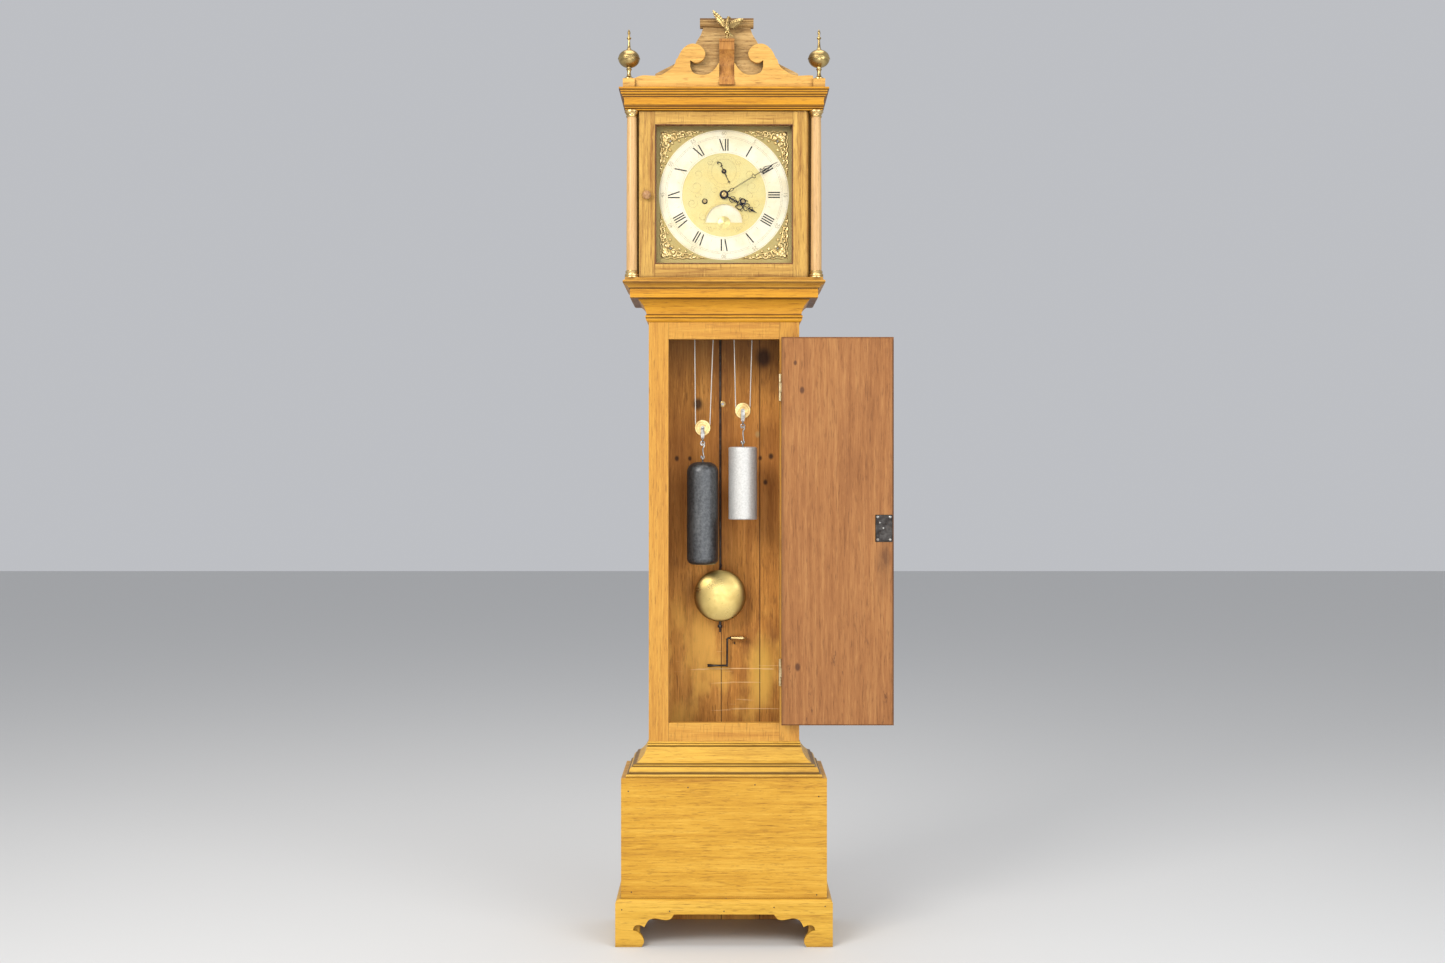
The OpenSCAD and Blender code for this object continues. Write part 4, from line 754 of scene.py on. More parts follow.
def case_brass():
    return aged_brass("case_brass", (0.80, 0.58, 0.26), (0.50, 0.33, 0.13))


def finial_brass():
    return aged_brass("finial_brass", (0.60, 0.44, 0.18), (0.27, 0.18, 0.07), 0.9, 0.26, 0.7)


def movement_brass():
    return aged_brass("movement_brass", (0.78, 0.58, 0.27), (0.56, 0.40, 0.17), 1.2, 0.28, 0.35)


def bob_brass():
    """Face of the pendulum bob: smooth lacquered brass with one broad sheen."""
    finish = aged_brass("bob_brass", (0.70, 0.52, 0.19), (0.58, 0.42, 0.14), 0.5, 0.31, 0.3)
    finish.bump(finish.noise(24.0, detail=1.0), 0.0003, 0.2)
    return finish


def hinge_brass():
    return aged_brass("hinge_brass", (0.84, 0.70, 0.42), (0.62, 0.48, 0.26), 1.5, 0.38, 0.5)


def matted_brass():
    """Dial centre and plate: pale lacquered brass with a fine matted grain, and painted shade on the plate
    outside the chapter ring.
    """
    finish = Finish("matted_brass", roughness=0.38, metallic=0.85)
    clouds = finish.noise(18.0, detail=5.0)
    skin = finish.mix(finish.level(clouds, 0.35, 0.65), (0.88, 0.76, 0.34), (0.76, 0.61, 0.24))
    within = finish.spot((DIAL_X * MM, DIAL_Y * MM, DIAL_Z * MM), [(RING_R + 2) * MM] * 3, 0.02)
    # Painted shade: the plate outside the chapter ring is darkened towards brown.
    ground = finish.math("SUBTRACT", 0.62, finish.math("MULTIPLY", within, 0.62))
    skin = finish.mix(ground, skin, (0.36, 0.25, 0.085))
    specks = finish.noise(420.0, detail=4.0)
    finish.colour(finish.mix(finish.level(specks, 0.60, 0.72, 0.0, 0.35), skin, (0.46, 0.34, 0.12)))
    finish.rough(finish.level(clouds, 0.3, 0.7, 0.33, 0.46))
    finish.bump(finish.cells(900.0), 0.00008, 0.35)
    return finish


def gilt_casting():
    """Corner ornaments: gilt high parts, with brown lacquer and painted shade in the recesses."""
    finish = aged_brass("gilt_casting", (0.90, 0.70, 0.33), (0.70, 0.49, 0.19), 3.0, 0.32, 0.6)
    # Painted shade, together with brown lacquer, darkens the parts nearest the dial plate and the recesses
    # between the scrolls.
    recess_shade = finish.level(finish.axis("Y"), (DIAL_Y - 2.2) * MM, (DIAL_Y - 0.2) * MM)
    skin = finish.mix(finish.math("MULTIPLY", recess_shade, 0.55), finish.skin(), (0.24, 0.14, 0.05))
    finish.colour(finish.mix(finish.hollows(0.006, 0.75), skin, (0.17, 0.095, 0.03)))
    return finish


def silvered():
    """Chapter ring: silvered brass gone cream, brushed in circles."""
    finish = Finish("silvered", roughness=0.42, metallic=0.35)
    clouds = finish.noise(16.0, detail=5.0)
    skin = finish.mix(finish.level(clouds, 0.35, 0.68), (0.93, 0.86, 0.66), (0.80, 0.70, 0.46))
    brushed = finish.noise(40.0, finish.stretch((1, 1, 30)), detail=3.0)
    finish.colour(finish.mix(finish.level(brushed, 0.6, 0.8, 0.0, 0.12), skin, (0.55, 0.45, 0.26)))
    finish.rough(finish.level(clouds, 0.3, 0.7, 0.36, 0.5))
    finish.bump(brushed, 0.00003, 0.3)
    return finish


def black_wax():
    """Wax filling of the engraved numerals."""
    finish = Finish("black_wax", roughness=0.5)
    worn = finish.noise(700.0, detail=3.0)
    finish.colour(finish.mix(finish.level(worn, 0.55, 0.75), (0.010, 0.009, 0.008), (0.04, 0.034, 0.026)))
    return finish


def dark_bead():
    """Near-black bead round the dial opening."""
    return oak("dark_bead", (0.22, 0.085, 0.030), (0.135, 0.048, 0.018), (0.06, 0.02, 0.009), "Z", 4.4,
               0.3, rough=0.4)


def faint_wax():
    """Wax of the small numerals and scales, mostly worn away."""
    finish = Finish("faint_wax", roughness=0.5)
    worn = finish.noise(900.0, detail=3.0)
    finish.colour(finish.mix(finish.level(worn, 0.38, 0.62), (0.20, 0.16, 0.085), (0.58, 0.50, 0.32)))
    return finish


def engraving():
    """Lines engraved in the brass, a little darker than the plate."""
    finish = Finish("engraving", roughness=0.5, metallic=0.6)
    worn = finish.noise(420.0, detail=3.0)
    finish.colour(finish.mix(finish.level(worn, 0.36, 0.64), (0.40, 0.28, 0.10), (0.74, 0.58, 0.28)))
    return finish


def blued_steel():
    """Hands: steel blued almost to black, with browner edges."""
    finish = Finish("blued_steel", roughness=0.24, metallic=0.9)
    clouds = finish.noise(160.0, detail=4.0)
    finish.colour(finish.mix(finish.level(clouds, 0.4, 0.65), (0.022, 0.028, 0.055), (0.06, 0.042, 0.035)))
    finish.rough(finish.level(clouds, 0.3, 0.7, 0.18, 0.34))
    return finish


def grey_steel():
    return worn_steel("grey_steel", (0.52, 0.51, 0.48), (0.26, 0.24, 0.22))


def dark_iron():
    return worn_steel("dark_iron", (0.075, 0.068, 0.062), (0.035, 0.03, 0.028), 0.42)


def black_iron():
    """Strike weight: black wax over a turned casting, with a broad sheen and small chips."""
    finish = Finish("black_iron", roughness=0.36, metallic=0.85)
    grain = finish.noise(170.0, detail=8.0, roughness=0.7)
    drag = finish.noise(40.0, finish.stretch((1, 1, 0.15)), detail=7.0, roughness=0.7)
    chips = finish.noise(64.0, detail=9.0, roughness=0.75)
    skin = finish.mix(finish.level(grain, 0.35, 0.7), (0.075, 0.077, 0.080), (0.145, 0.148, 0.15))
    skin = finish.mix(finish.level(drag, 0.52, 0.7, 0.0, 0.5), skin, (0.21, 0.21, 0.205))
    finish.colour(finish.mix(finish.level(chips, 0.66, 0.72, 0.0, 0.8), skin, (0.42, 0.40, 0.36)))
    finish.rough(finish.level(grain, 0.3, 0.7, 0.34, 0.5))
    finish.bump(grain, 0.0002, 0.5)
    return finish


def pale_lead():
    """Going weight: pale cast lead, finely pitted and rubbed in faint bands."""
    finish = Finish("pale_lead", roughness=0.48, metallic=0.45)
    grain = finish.noise(260.0, detail=8.0, roughness=0.68)
    rubbed = finish.noise(26.0, finish.stretch((1, 1, 0.3)), detail=6.0)
    skin = finish.mix(finish.level(grain, 0.30, 0.70), (0.50, 0.49, 0.46), (0.68, 0.67, 0.64))
    finish.colour(finish.mix(finish.level(rubbed, 0.5, 0.74, 0.0, 0.4), skin, (0.40, 0.39, 0.37)))
    finish.rough(finish.level(grain, 0.3, 0.7, 0.38, 0.58))
    finish.bump(grain, 0.0004, 0.6)
    return finish


def laid_line():
    """Twisted line: pale fibres laid in a tight spiral."""
    finish = Finish("laid_line", roughness=0.8)
    lay = finish.bands(300.0, finish.stretch((1, 1, 1), turn=(0.5, 0.8, 0)), distortion=0.6, detail=1.0)
    fluff = finish.noise(1500.0, detail=2.0)
    skin = finish.mix(lay, (0.44, 0.40, 0.33), (0.86, 0.83, 0.76))
    finish.colour(finish.mix(finish.level(fluff, 0.5, 0.7, 0.0, 0.3), skin, (0.62, 0.56, 0.45)))
    finish.bump(lay, 0.0004, 0.8)
    return finish


def old_glass():
    """Thin old glass of the hood door: clear, with faint ripples."""
    finish = Finish("old_glass", roughness=0.04)
    ripple = finish.noise(9.0, detail=1.0)
    finish.colour(finish.mix(finish.level(ripple, 0.3, 0.7), (0.03, 0.035, 0.033), (0.045, 0.05, 0.048)))
    finish.put(finish.shader.inputs["Alpha"], finish.level(ripple, 0.2, 0.8, 0.035, 0.06))
    finish.bump(ripple, 0.0006, 0.12)
    return finish


def turned_knob():
    return oak("turned_knob", (0.52, 0.30, 0.14), (0.40, 0.21, 0.09), (0.22, 0.10, 0.045), "Y", 1.1, 0.3,
               rough=0.3)


def studio_floor():
    """Pale floor with a barely uneven surface."""
    finish = Finish("studio_floor", roughness=0.8)
    grain = finish.noise(900.0, detail=2.0)
    finish.colour(finish.mix(finish.level(grain, 0.3, 0.7), (0.650, 0.650, 0.642), (0.662, 0.662, 0.655)))
    return finish


MAKERS = {
    "base_oak": base_oak, "plinth_oak": plinth_oak, "frame_oak": frame_oak, "moulding_oak": moulding_oak,
    "base_moulding_oak": base_moulding_oak, "hood_moulding_oak": hood_moulding_oak,
        "hood_door_oak": hood_door_oak,
    "corbel_oak": corbel_oak, "hinge_brass": hinge_brass, "dark_bead": dark_bead,
    "hood_oak": hood_oak, "crest_oak": crest_oak, "tablet_oak": tablet_oak, "door_oak": door_oak,
    "inside_oak": inside_oak, "side_oak": side_oak, "back_oak": back_oak, "column_wood": column_wood,
        "case_brass": case_brass,
    "finial_brass": finial_brass, "movement_brass": movement_brass, "bob_brass": bob_brass,
    "matted_brass": matted_brass, "gilt_casting": gilt_casting, "silvered": silvered,
        "black_wax": black_wax,
    "faint_wax": faint_wax, "engraving": engraving, "blued_steel": blued_steel,
    "grey_steel": grey_steel, "dark_iron": dark_iron,
    "black_iron": black_iron, "pale_lead": pale_lead, "laid_line": laid_line, "old_glass": old_glass,
    "turned_knob": turned_knob, "studio_floor": studio_floor,
}

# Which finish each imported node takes, and how far its edges are eased, in millimetres
NODE_FINISHES = {
    "backboard": ("back_oak", 0), "trunk_sides": ("side_oak", 0), "trunk_frame": ("frame_oak", 0.8),
    "throat_moulding": ("moulding_oak", 0), "base_panels": ("base_oak", 1.0),
        "base_moulding": ("base_moulding_oak", 0),
    "plinth": ("plinth_oak", 1.0), "seatboard": ("inside_oak", 1.0),
        "case_hinge_leaves": ("hinge_brass", 0),
    "key_nail": ("dark_iron", 0), "trunk_door": ("door_oak", 1.0), "door_hinge_leaves": ("hinge_brass", 0),
    "door_lock": ("dark_iron", 0.3), "lock_bolt": ("grey_steel", 0.4), "hood_carcass": ("hood_oak", 0.8),
    "hood_base_moulding": ("hood_moulding_oak", 0), "hood_cornice": ("moulding_oak", 0),
    "pediment_front": ("crest_oak", 0.8), "pediment_tablet": ("tablet_oak", 0.6),
    "centre_corbel": ("corbel_oak", 0.6), "eagle_finial": ("finial_brass", 0),
        "ball_finials": ("finial_brass", 0),
    "column_shafts": ("column_wood", 0), "column_brasses": ("case_brass", 0),
        "hood_door_frame": ("hood_door_oak", 0.8),
    "hood_door_glass": ("old_glass", 0), "hood_door_knob": ("turned_knob", 0),
        "hood_door_pivots": ("case_brass", 0),
    "movement_plates": ("movement_brass", 0.3), "dial_plate": ("matted_brass", 0),
        "chapter_ring": ("silvered", 0.2),
    "spandrels": ("gilt_casting", 0), "bell": ("grey_steel", 0), "going_great_wheel": ("movement_brass", 0),
    "going_barrel": ("movement_brass", 0), "centre_wheel": ("movement_brass", 0),
        "minute_hand": ("blued_steel", 0),
    "minute_wheel": ("movement_brass", 0), "hour_wheel": ("movement_brass", 0),
        "hour_hand": ("blued_steel", 0),
    "third_wheel": ("movement_brass", 0), "escape_wheel": ("movement_brass", 0),
        "seconds_hand": ("blued_steel", 0),
    "anchor": ("grey_steel", 0), "pendulum_rod": ("dark_iron", 0), "pendulum_bob": ("bob_brass", 0),
    "date_disc": ("silvered", 0), "strike_great_wheel": ("movement_brass", 0),
        "strike_barrel": ("movement_brass", 0),
    "pin_wheel": ("movement_brass", 0), "hammer": ("grey_steel", 0), "going_line": ("laid_line", 0),
    "strike_line": ("laid_line", 0), "going_pulley": ("case_brass", 0), "strike_pulley": ("case_brass", 0),
    "going_hook": ("grey_steel", 0), "strike_hook": ("grey_steel", 0), "going_weight": ("pale_lead", 0),
    "strike_weight": ("black_iron", 0), "winding_crank": ("dark_iron", 0),
}


# ---- Sizes and colours shown in the panel ----

class ClockSizes(bpy.types.PropertyGroup):
    """Sizes of the fine pieces."""
    stroke: FloatProperty(name="Numeral stroke", description="Width of a Roman numeral's thick strokes",
                          default=0.0028, unit="LENGTH")
    line: FloatProperty(name="Line radius", description="Radius of the weights' lines", default=0.0011,
                        unit="LENGTH")
    scroll: FloatProperty(name="Scroll radius",
                          description="Half thickness of the corner ornaments' scrolls", default=0.0021,
                          unit="LENGTH")
    bevel: FloatProperty(name="Edge", description="How far the edges of the boards are eased, as a share",
                         default=1.0)


class ClockColours(bpy.types.PropertyGroup):
    """Colours of the stage's lights."""
    key: FloatVectorProperty(name="Key light", description="Colour of the main light",
                             default=(1.0, 0.97, 0.93), subtype="COLOR")
    fill: FloatVectorProperty(name="Fill light", description="Colour of the fill light",
                              default=(0.94, 0.97, 1.0), subtype="COLOR")


def sizes():
    return bpy.context.scene.clock_sizes


# ---- Case ----

def finish_nodes():
    """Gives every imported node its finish, and eases the edges of the boards."""
    for name, (key, edge) in NODE_FINISHES.items():
        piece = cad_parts[name]
        piece.data.materials.clear()
        piece.data.materials.append(finish_of(key))
        if edge:
            bevelled(piece, edge * MM * sizes().bevel)


def build_case_details():
    """Nails of the base and plinth, hinge screws and the wall screw's washer."""
    rng = random.Random(12)
    base_low, base_high = low("base_panels"), high("base_panels")
    heads = Shape()
    for x, z in ((-0.93, 0.9), (-0.9, 0.12), (0.92, 0.86), (0.9, 0.1), (-0.35, 0.93), (0.3, 0.95),
                 (0.02, 0.07)):
        heads.lathe([(1.5, -0.3), (1.5, 0.12), (0.9, 0.3)],
                    facing(x * base_high.x, base_low.y, base_low.z + z * (base_high.z - base_low.z)), 14)
    plinth_low, plinth_high = low("plinth"), high("plinth")
    for x in (-0.94, -0.5, 0.0, 0.46, 0.93):
        heads.lathe([(1.4, -0.3), (1.4, 0.12), (0.8, 0.3)],
                    facing(x * plinth_high.x, plinth_low.y, plinth_high.z - rng.uniform(14, 30)), 14)
    heads.piece("case_nails", "case", "dark_iron")
    washer = Shape().hoop([(3.2, 0), (7.2, 0), (7.2, 0.9), (6.6, 1.3), (3.2, 1.3)],
                          facing(WALL_SCREW_X, low("backboard").y, WALL_SCREW_Z), 32)
    washer.piece("wall_washer", "case", "case_brass")
    screws = Shape()
    leaves = high("case_hinge_leaves")
    for z in HINGE_HEIGHTS:
        for dz in (-24, -8, 8, 24):
            screws.lathe([(2.6, -0.2), (2.6, 0.15), (1.9, 0.5)],
                         facing(leaves.x - 7 - (dz % 16) * 0.3, TRUNK_FRONT - 2, z + dz), 16)
    screws.piece("case_hinge_screws", "case", "grey_steel")


def build_door_details():
    """Screws and rivets of the lock, with the raised rim of its plate and the keyhole's boss."""
    lock_low, lock_high = low("door_lock"), high("door_lock")
    screws = Shape()
    y = lock_low.y
    for x in (lock_low.x + 4.5, lock_high.x - 5):
        for z in (lock_low.z + 4.5, lock_high.z - 4.5):
            at = facing(x, y, z)
            screws.lathe([(2.9, -0.2), (2.9, 0.2), (2.2, 0.7), (0.4, 0.85)], at, 18)
    for x, z in ((lock_low.x + 17, lock_low.z + 30), (lock_low.x + 9, lock_low.z + 42)):
        screws.lathe([(1.7, -0.2), (1.7, 0.5), (0.9, 0.9)], facing(x, y, z), 14)
    screws.piece("lock_screws", "trunk_door", "grey_steel")
    rim = Shape()
    inset = 1.2
    corners = [(lock_low.x + inset, lock_low.z + inset), (lock_high.x - inset, lock_low.z + inset),
               (lock_high.x - inset, lock_high.z - inset), (lock_low.x + inset, lock_high.z - inset)]
    rim.strip(corners + corners[:1], 1.6, y, 0.5)
    rim.lathe([(4.4, -0.2), (4.4, 0.5), (3.6, 0.9), (1.2, 0.9)],
              facing(lock_low.x + 15, y, lock_low.z + 20), 24)
    rim.piece("lock_rim", "trunk_door", "dark_iron")


# ---- Hood ----

def build_hood_turnings():
    """Columns, their brasses, the ball finials and the door knob."""
    shaft_low, shaft_high = low("column_shafts"), high("column_shafts")
    brass_low, brass_high = low("column_brasses"), high("column_brasses")
    brass_r = (brass_high.y - brass_low.y) / 2
    column_x = brass_high.x - brass_r
    column_y = (brass_low.y + brass_high.y) / 2
    shaft_r = shaft_high.x - column_x
    shafts, brasses, finials = Shape(), Shape(), Shape()
    height = shaft_high.z - shaft_low.z
    for side in (-1, 1):
        taper = [(shaft_r - 0.1 - 1.4 * (k / 20) ** 2, height * k / 20) for k in range(21)]
        shafts.lathe(taper, Matrix.Translation((side * column_x, column_y, shaft_low.z)), 56)
        foot = [(brass_r, 0), (brass_r, 2.6), (brass_r - 0.8, 3.2), (brass_r - 0.2, 4.2), (brass_r, 5.6),
                (brass_r - 0.2, 7), (brass_r - 1.2, 8), (14.0, 8.6), (13.4, 10.2), (13.8, 11.2),
                (14.4, 12.6), (13.9, 14), (12.8, 14.6), (12.5, 15.5)]
        brasses.lathe(foot, Matrix.Translation((side * column_x, column_y, brass_low.z)), 64)
        head = [(11.3, 0), (12.1, 0.6), (12.6, 1.9), (12.1, 3.2), (11.5, 4), (11.5, 5.4), (12.4, 6),
                (12.9, 7.6), (13.8, 9.2), (brass_r - 0.9, 10.4), (brass_r - 0.4, 10.8), (brass_r, 11.2),
                (brass_r, 14.5)]
        brasses.lathe(head, Matrix.Translation((side * column_x, column_y, brass_high.z - 14.5)), 64)
    shafts.piece("column_shafts_turned", "hood", "column_wood", node="column_shafts")
    brasses.piece("column_brasses_cast", "hood", "case_brass", node="column_brasses")
    ball_low, ball_high = low("ball_finials"), high("ball_finials")
    ball_r = (ball_high.y - ball_low.y) / 2
    ball_x = ball_high.x - ball_r
    ball_y = (ball_low.y + ball_high.y) / 2
    tall = ball_high.z - ball_low.z
    middle_z = 0.414 * tall
    ball = [(ball_r * math.cos(math.radians(a)), middle_z + 0.84 * ball_r * math.sin(math.radians(a)))
            for a in range(-77, -1, 4)]
    ball += [(ball_r + 0.35, middle_z - 1.3), (ball_r + 0.9, middle_z - 0.5),
             (ball_r + 0.9, middle_z + 0.5)]
    ball += [(ball_r + 0.35, middle_z + 1.3)]
    ball += [(ball_r * math.cos(math.radians(a)), middle_z + 0.84 * ball_r * math.sin(math.radians(a)))
             for a in range(3, 79, 4)]
    spire = [(4.2, middle_z + 22.6), (3.6, 0.63 * tall), (2.9, 0.70 * tall), (2.4, 0.79 * tall),
             (3.6, 0.803 * tall), (4.7, 0.815 * tall), (4.7, 0.832 * tall), (3.4, 0.845 * tall),
             (2.2, 0.855 * tall), (2.0, 0.885 * tall), (2.9, 0.91 * tall), (3.3, 0.93 * tall),
             (2.7, 0.955 * tall), (1.4, 0.985 * tall), (0.4, tall)]
    foot = [(11, 0), (11, 2.4), (10, 3.1), (7.6, 4.4), (5.6, 6.6), (4.5, 10), (4.1, 15), (4.3, 19),
            (5.9, 21), (6.1, 22.6), (5.2, 23.6)]
    for side in (-1, 1):
        finials.lathe(foot + ball + spire, Matrix.Translation((side * ball_x, ball_y, ball_low.z)), 64)
    finials.piece("ball_finials_turned", "hood", "finial_brass", node="ball_finials")
    knob = middle("hood_door_knob")
    knob_low = low("hood_door_knob")
    back = high("hood_door_knob").y
    out = back - knob_low.y
    knob_r = (high("hood_door_knob").z - knob_low.z) / 2
    profile = [(4.2, 0), (4.2, 1.2), (3.4, 2.4), (3.2, 4.2), (4.4, 5.6), (knob_r * 0.78, 7.2),
               (knob_r * 0.96, 9.2), (knob_r, 11.2), (knob_r * 0.93, 13.4), (knob_r * 0.72, 15.2),
               (knob_r * 0.4, 16.2), (1.4, out - 0.6), (1.1, out)]
    Shape().lathe(profile, facing(knob.x, back, knob.z), 48).piece(
        "hood_knob_turned", "hood_door", "turned_knob", node="hood_door_knob")


def build_eagle():
    """Eagle on a small turned foot, one wing raised and the other spread."""
    base, top = low("eagle_finial"), high("eagle_finial")
    origin = Vector((CREST_X + 1, (base.y + top.y) / 2, base.z))
    unit = (top.z - base.z) / 62.0
    bird = Shape()
    bird.lathe([(8.4, 0), (8.4, 1.4), (6.6, 2.4), (3.6, 3.6), (2.7, 6), (2.6, 8.6), (4.4, 10.2),
                (4.6, 11.8), (3, 13.4)], Matrix.Translation(origin) @ Matrix.Scale(unit, 4), 36)

    def blob(cx, cy, cz, rx, ry, rz, lean=0.0, pitch=0.0):
        bird.ball(origin + Vector((cx, cy, cz)) * unit, (rx * unit, ry * unit, rz * unit), (pitch, lean, 0))

    blob(0.4, -1.0, 25, 5.6, 5.6, 9.6, 0.12)
    blob(0.0, -2.0, 33, 5.2, 5.0, 6.6)
    blob(1.0, -2.8, 40, 3.3, 3.3, 5.2, 0.15)
    blob(2.6, -3.4, 44.5, 3.4, 3.2, 3.2)
    blob(5.8, -3.8, 44.2, 2.3, 1.4, 1.3, 0.3)
    blob(7.4, -3.8, 43.0, 0.9, 0.9, 1.6, -0.4)
    for side in (-1, 1):
        blob(2.8 * side, -2.0, 15.5, 1.8, 2.2, 3.6)
        for toe in (-1, 0, 1):
            blob(2.8 * side + 1.3 * toe, -4.0, 12.6, 0.7, 2.0, 0.9)
    for k in range(4):
        blob(3.0 + 1.8 * k, 1.6, 14.6 - 0.7 * k, 1.2, 1.3, 8.0, -0.30 - 0.14 * k)
    wings = ((Vector((-4, 0, 37)), Vector((-5, 0, 27)), Vector((-30, 0, 61.5)), Vector((-14, 0, 28))),
             (Vector((4, 0, 35)), Vector((5, 0, 25)), Vector((33, 0, 44)), Vector((17, 0, 21))))
    for shoulder, flank, lead, trail in wings:
        side = 1 if lead.x > 0 else -1
        for k in range(10):
            t = k / 9
            root = shoulder.lerp(flank, t) + Vector((0, 1.2, 0))
            tip = (lead.lerp(trail, t ** 1.15)
                   + Vector((side * 3.2 * math.sin(math.pi * t), 1.6 + 0.3 * k, 0)))
            bend = root.lerp(tip, 0.5) + Vector((side * 1.4, -0.7, 2.6))
            points = spline([root, bend, tip], 6)
            radii = [2.3 * unit * (1 - 0.66 * (i / (len(points) - 1)) ** 2) for i in range(len(points))]
            bird.tube([origin + point * unit for point in points], radii, 10, flat=0.62)
        for k in range(5):
            at = shoulder.lerp(lead, 0.12 + 0.17 * k)
            blob(at.x, 0.1, at.z - 1.5, 2.7, 1.8, 3.8, side * 0.7)
    rng = random.Random(5)
    for _ in range(40):
        a = rng.uniform(-1.3, 1.3)
        h = rng.uniform(19, 38)
        r = 5.7 * math.sqrt(max(0.1, 1 - ((h - 28) / 14) ** 2))
        blob(r * math.sin(a), -1.2 - r * 0.9 * math.cos(a), h, 1.0, 0.6, 1.6, 0.15 * math.sin(a * 3))
    piece = bird.piece("eagle_cast", "hood", "finial_brass", node="eagle_finial")
    cast(piece, 0.55 * MM, 1)


# ---- Dial ----

def on_dial(angle, radius):
    """[x, z] place on the dial at a clockwise angle in degrees from the top."""
    a = math.radians(angle)
    return (DIAL_X + radius * math.sin(a), DIAL_Z + radius * math.cos(a))


ROMAN = ("XII", "I", "II", "III", "IIII", "V", "VI", "VII", "VIII", "IX", "X", "XI")
LETTER_WIDTHS = {"I": 5.4, "V": 11.5, "X": 12.0}


def letter_strokes(letter, left):
    """Thick and thin strokes of a letter as [(x, height), (x, height)], with height 0 to 1."""
    w = LETTER_WIDTHS[letter]
    if letter == "I":
        mid = left + w / 2
        return [((mid, 0), (mid, 1))], [((mid - 2.2, 0), (mid + 2.2, 0)), ((mid - 2.2, 1), (mid + 2.2, 1))]
    if letter == "V":
        a, b, c = left + 1.6, left + w * 0.55, left + w - 1.6
        thin = [((c, 1), (b, 0)), ((a - 2, 1), (a + 2, 1)), ((c - 1.8, 1), (c + 1.8, 1))]
        return [((a, 1), (b, 0))], thin
    a, c = left + 1.6, left + w - 1.6
    return [((a, 1), (c, 0))], [((c, 1), (a, 0)), ((a - 2, 1), (a + 2, 1)), ((c - 2, 0), (c + 2, 0))]


def build_numerals():
    """Roman hour numerals: waxed thick strokes, and thin strokes and serifs that are nearly worn away."""
    inner, outer = RING_R * 0.682, RING_R * 0.862
    thick, thin = Shape(), Shape()
    stroke = sizes().stroke / MM
    for hour, numeral in enumerate(ROMAN):
        total = sum(LETTER_WIDTHS[c] for c in numeral)
        left = -total / 2
        turn = math.radians(30 * hour)
        across = Vector((math.cos(turn), -math.sin(turn)))
        out = Vector((math.sin(turn), math.cos(turn)))
        for letter in numeral:
            for strokes, shape, width in zip(letter_strokes(letter, left), (thick, thin), (stroke, 0.55)):
                for (xa, ha), (xb, hb) in strokes:
                    ends = [Vector((DIAL_X, DIAL_Z)) + across * x + out * (inner + (outer - inner) * h)
                            for x, h in ((xa, ha), (xb, hb))]
                    shape.strip([ends[0], ends[0].lerp(ends[1], 0.5), ends[1]], width, RING_Y, 0.14)
            left += LETTER_WIDTHS[letter]
    thick.piece("roman_numerals", "case", "black_wax", smooth=False)
    thin.piece("roman_serifs", "case", "faint_wax", smooth=False)


def build_minute_figures():
    """Arabic minute figures outside the minute track, upright from the dial's centre."""
    faces = []
    for step in range(12):
        curve = bpy.data.curves.new("figure", "FONT")
        curve.body = str(5 * step if step else 60)
        curve.size = 11.5 * MM
        curve.extrude = 0.06 * MM
        curve.align_x = "CENTER"
        curve.align_y = "CENTER"
        text = bpy.data.objects.new("figure", curve)
        bpy.context.scene.collection.objects.link(text)
        x, z = on_dial(30 * step, RING_R * 0.945)
        text.matrix_world = (Matrix.Translation((x * MM, (RING_Y - 0.06) * MM, z * MM))
                             @ Matrix.Rotation(math.radians(30 * step), 4, "Y") @ ALONG_Y)
        faces.append(text)
    bpy.context.view_layer.update()
    graph = bpy.context.evaluated_depsgraph_get()
    joined = bmesh.new()
    for text in faces:
        mesh = bpy.data.meshes.new_from_object(text.evaluated_get(graph))
        mesh.transform(text.matrix_world)
        joined.from_mesh(mesh)
        bpy.data.meshes.remove(mesh)
        curve = text.data
        bpy.data.objects.remove(text)
        bpy.data.curves.remove(curve)
    mesh = bpy.data.meshes.new("minute_figures")
    joined.to_mesh(mesh)
    joined.free()
    add_piece("minute_figures", mesh, "case", finish_of("faint_wax"), smooth=False)


def circle(cx, cz, r, steps=96):
    points = arc((cx, cz), r, 0, 360, steps)
    return points[:-1] + [points[0]]


def build_tracks():
    """Minute and hour tracks of the ring, and the seconds circle engraved in the dial's centre."""
    track = Shape()
    for r in (RING_R * 0.985, RING_R * 0.905, RING_R * 0.882, RING_R * 0.665):
        track.strip(circle(DIAL_X, DIAL_Z, r, 144), 0.42, RING_Y, 0.1)
    for minute in range(60):
        track.strip([on_dial(6 * minute, RING_R * 0.882), on_dial(6 * minute, RING_R * 0.905)], 0.4,
                    RING_Y, 0.1)
    for half in range(12):
        a = 15 + 30 * half
        track.strip([on_dial(a, RING_R * 0.70), on_dial(a, RING_R * 0.74)], 0.6, RING_Y, 0.1)
    track.piece("ring_tracks", "case", "faint_wax", smooth=False)
    seconds = Shape()
    for r in (36, 28.5, 26.6):
        seconds.strip(circle(DIAL_X, SECONDS_Z, r), 0.4, DIAL_Y, 0.1)
    for step in range(60):
        a = math.radians(6 * step)
        ends = [(DIAL_X + r * math.sin(a), SECONDS_Z + r * math.cos(a)) for r in (26.6, 28.5)]
        seconds.strip(ends, 0.32, DIAL_Y, 0.1)
    for step in range(12):
        a = math.radians(30 * step)
        ends = [(DIAL_X + r * math.sin(a), SECONDS_Z + r * math.cos(a)) for r in (30.5, 34.0)]
        seconds.strip(ends, 0.7, DIAL_Y, 0.1)
    seconds.piece("seconds_circle", "case", "engraving", smooth=False)


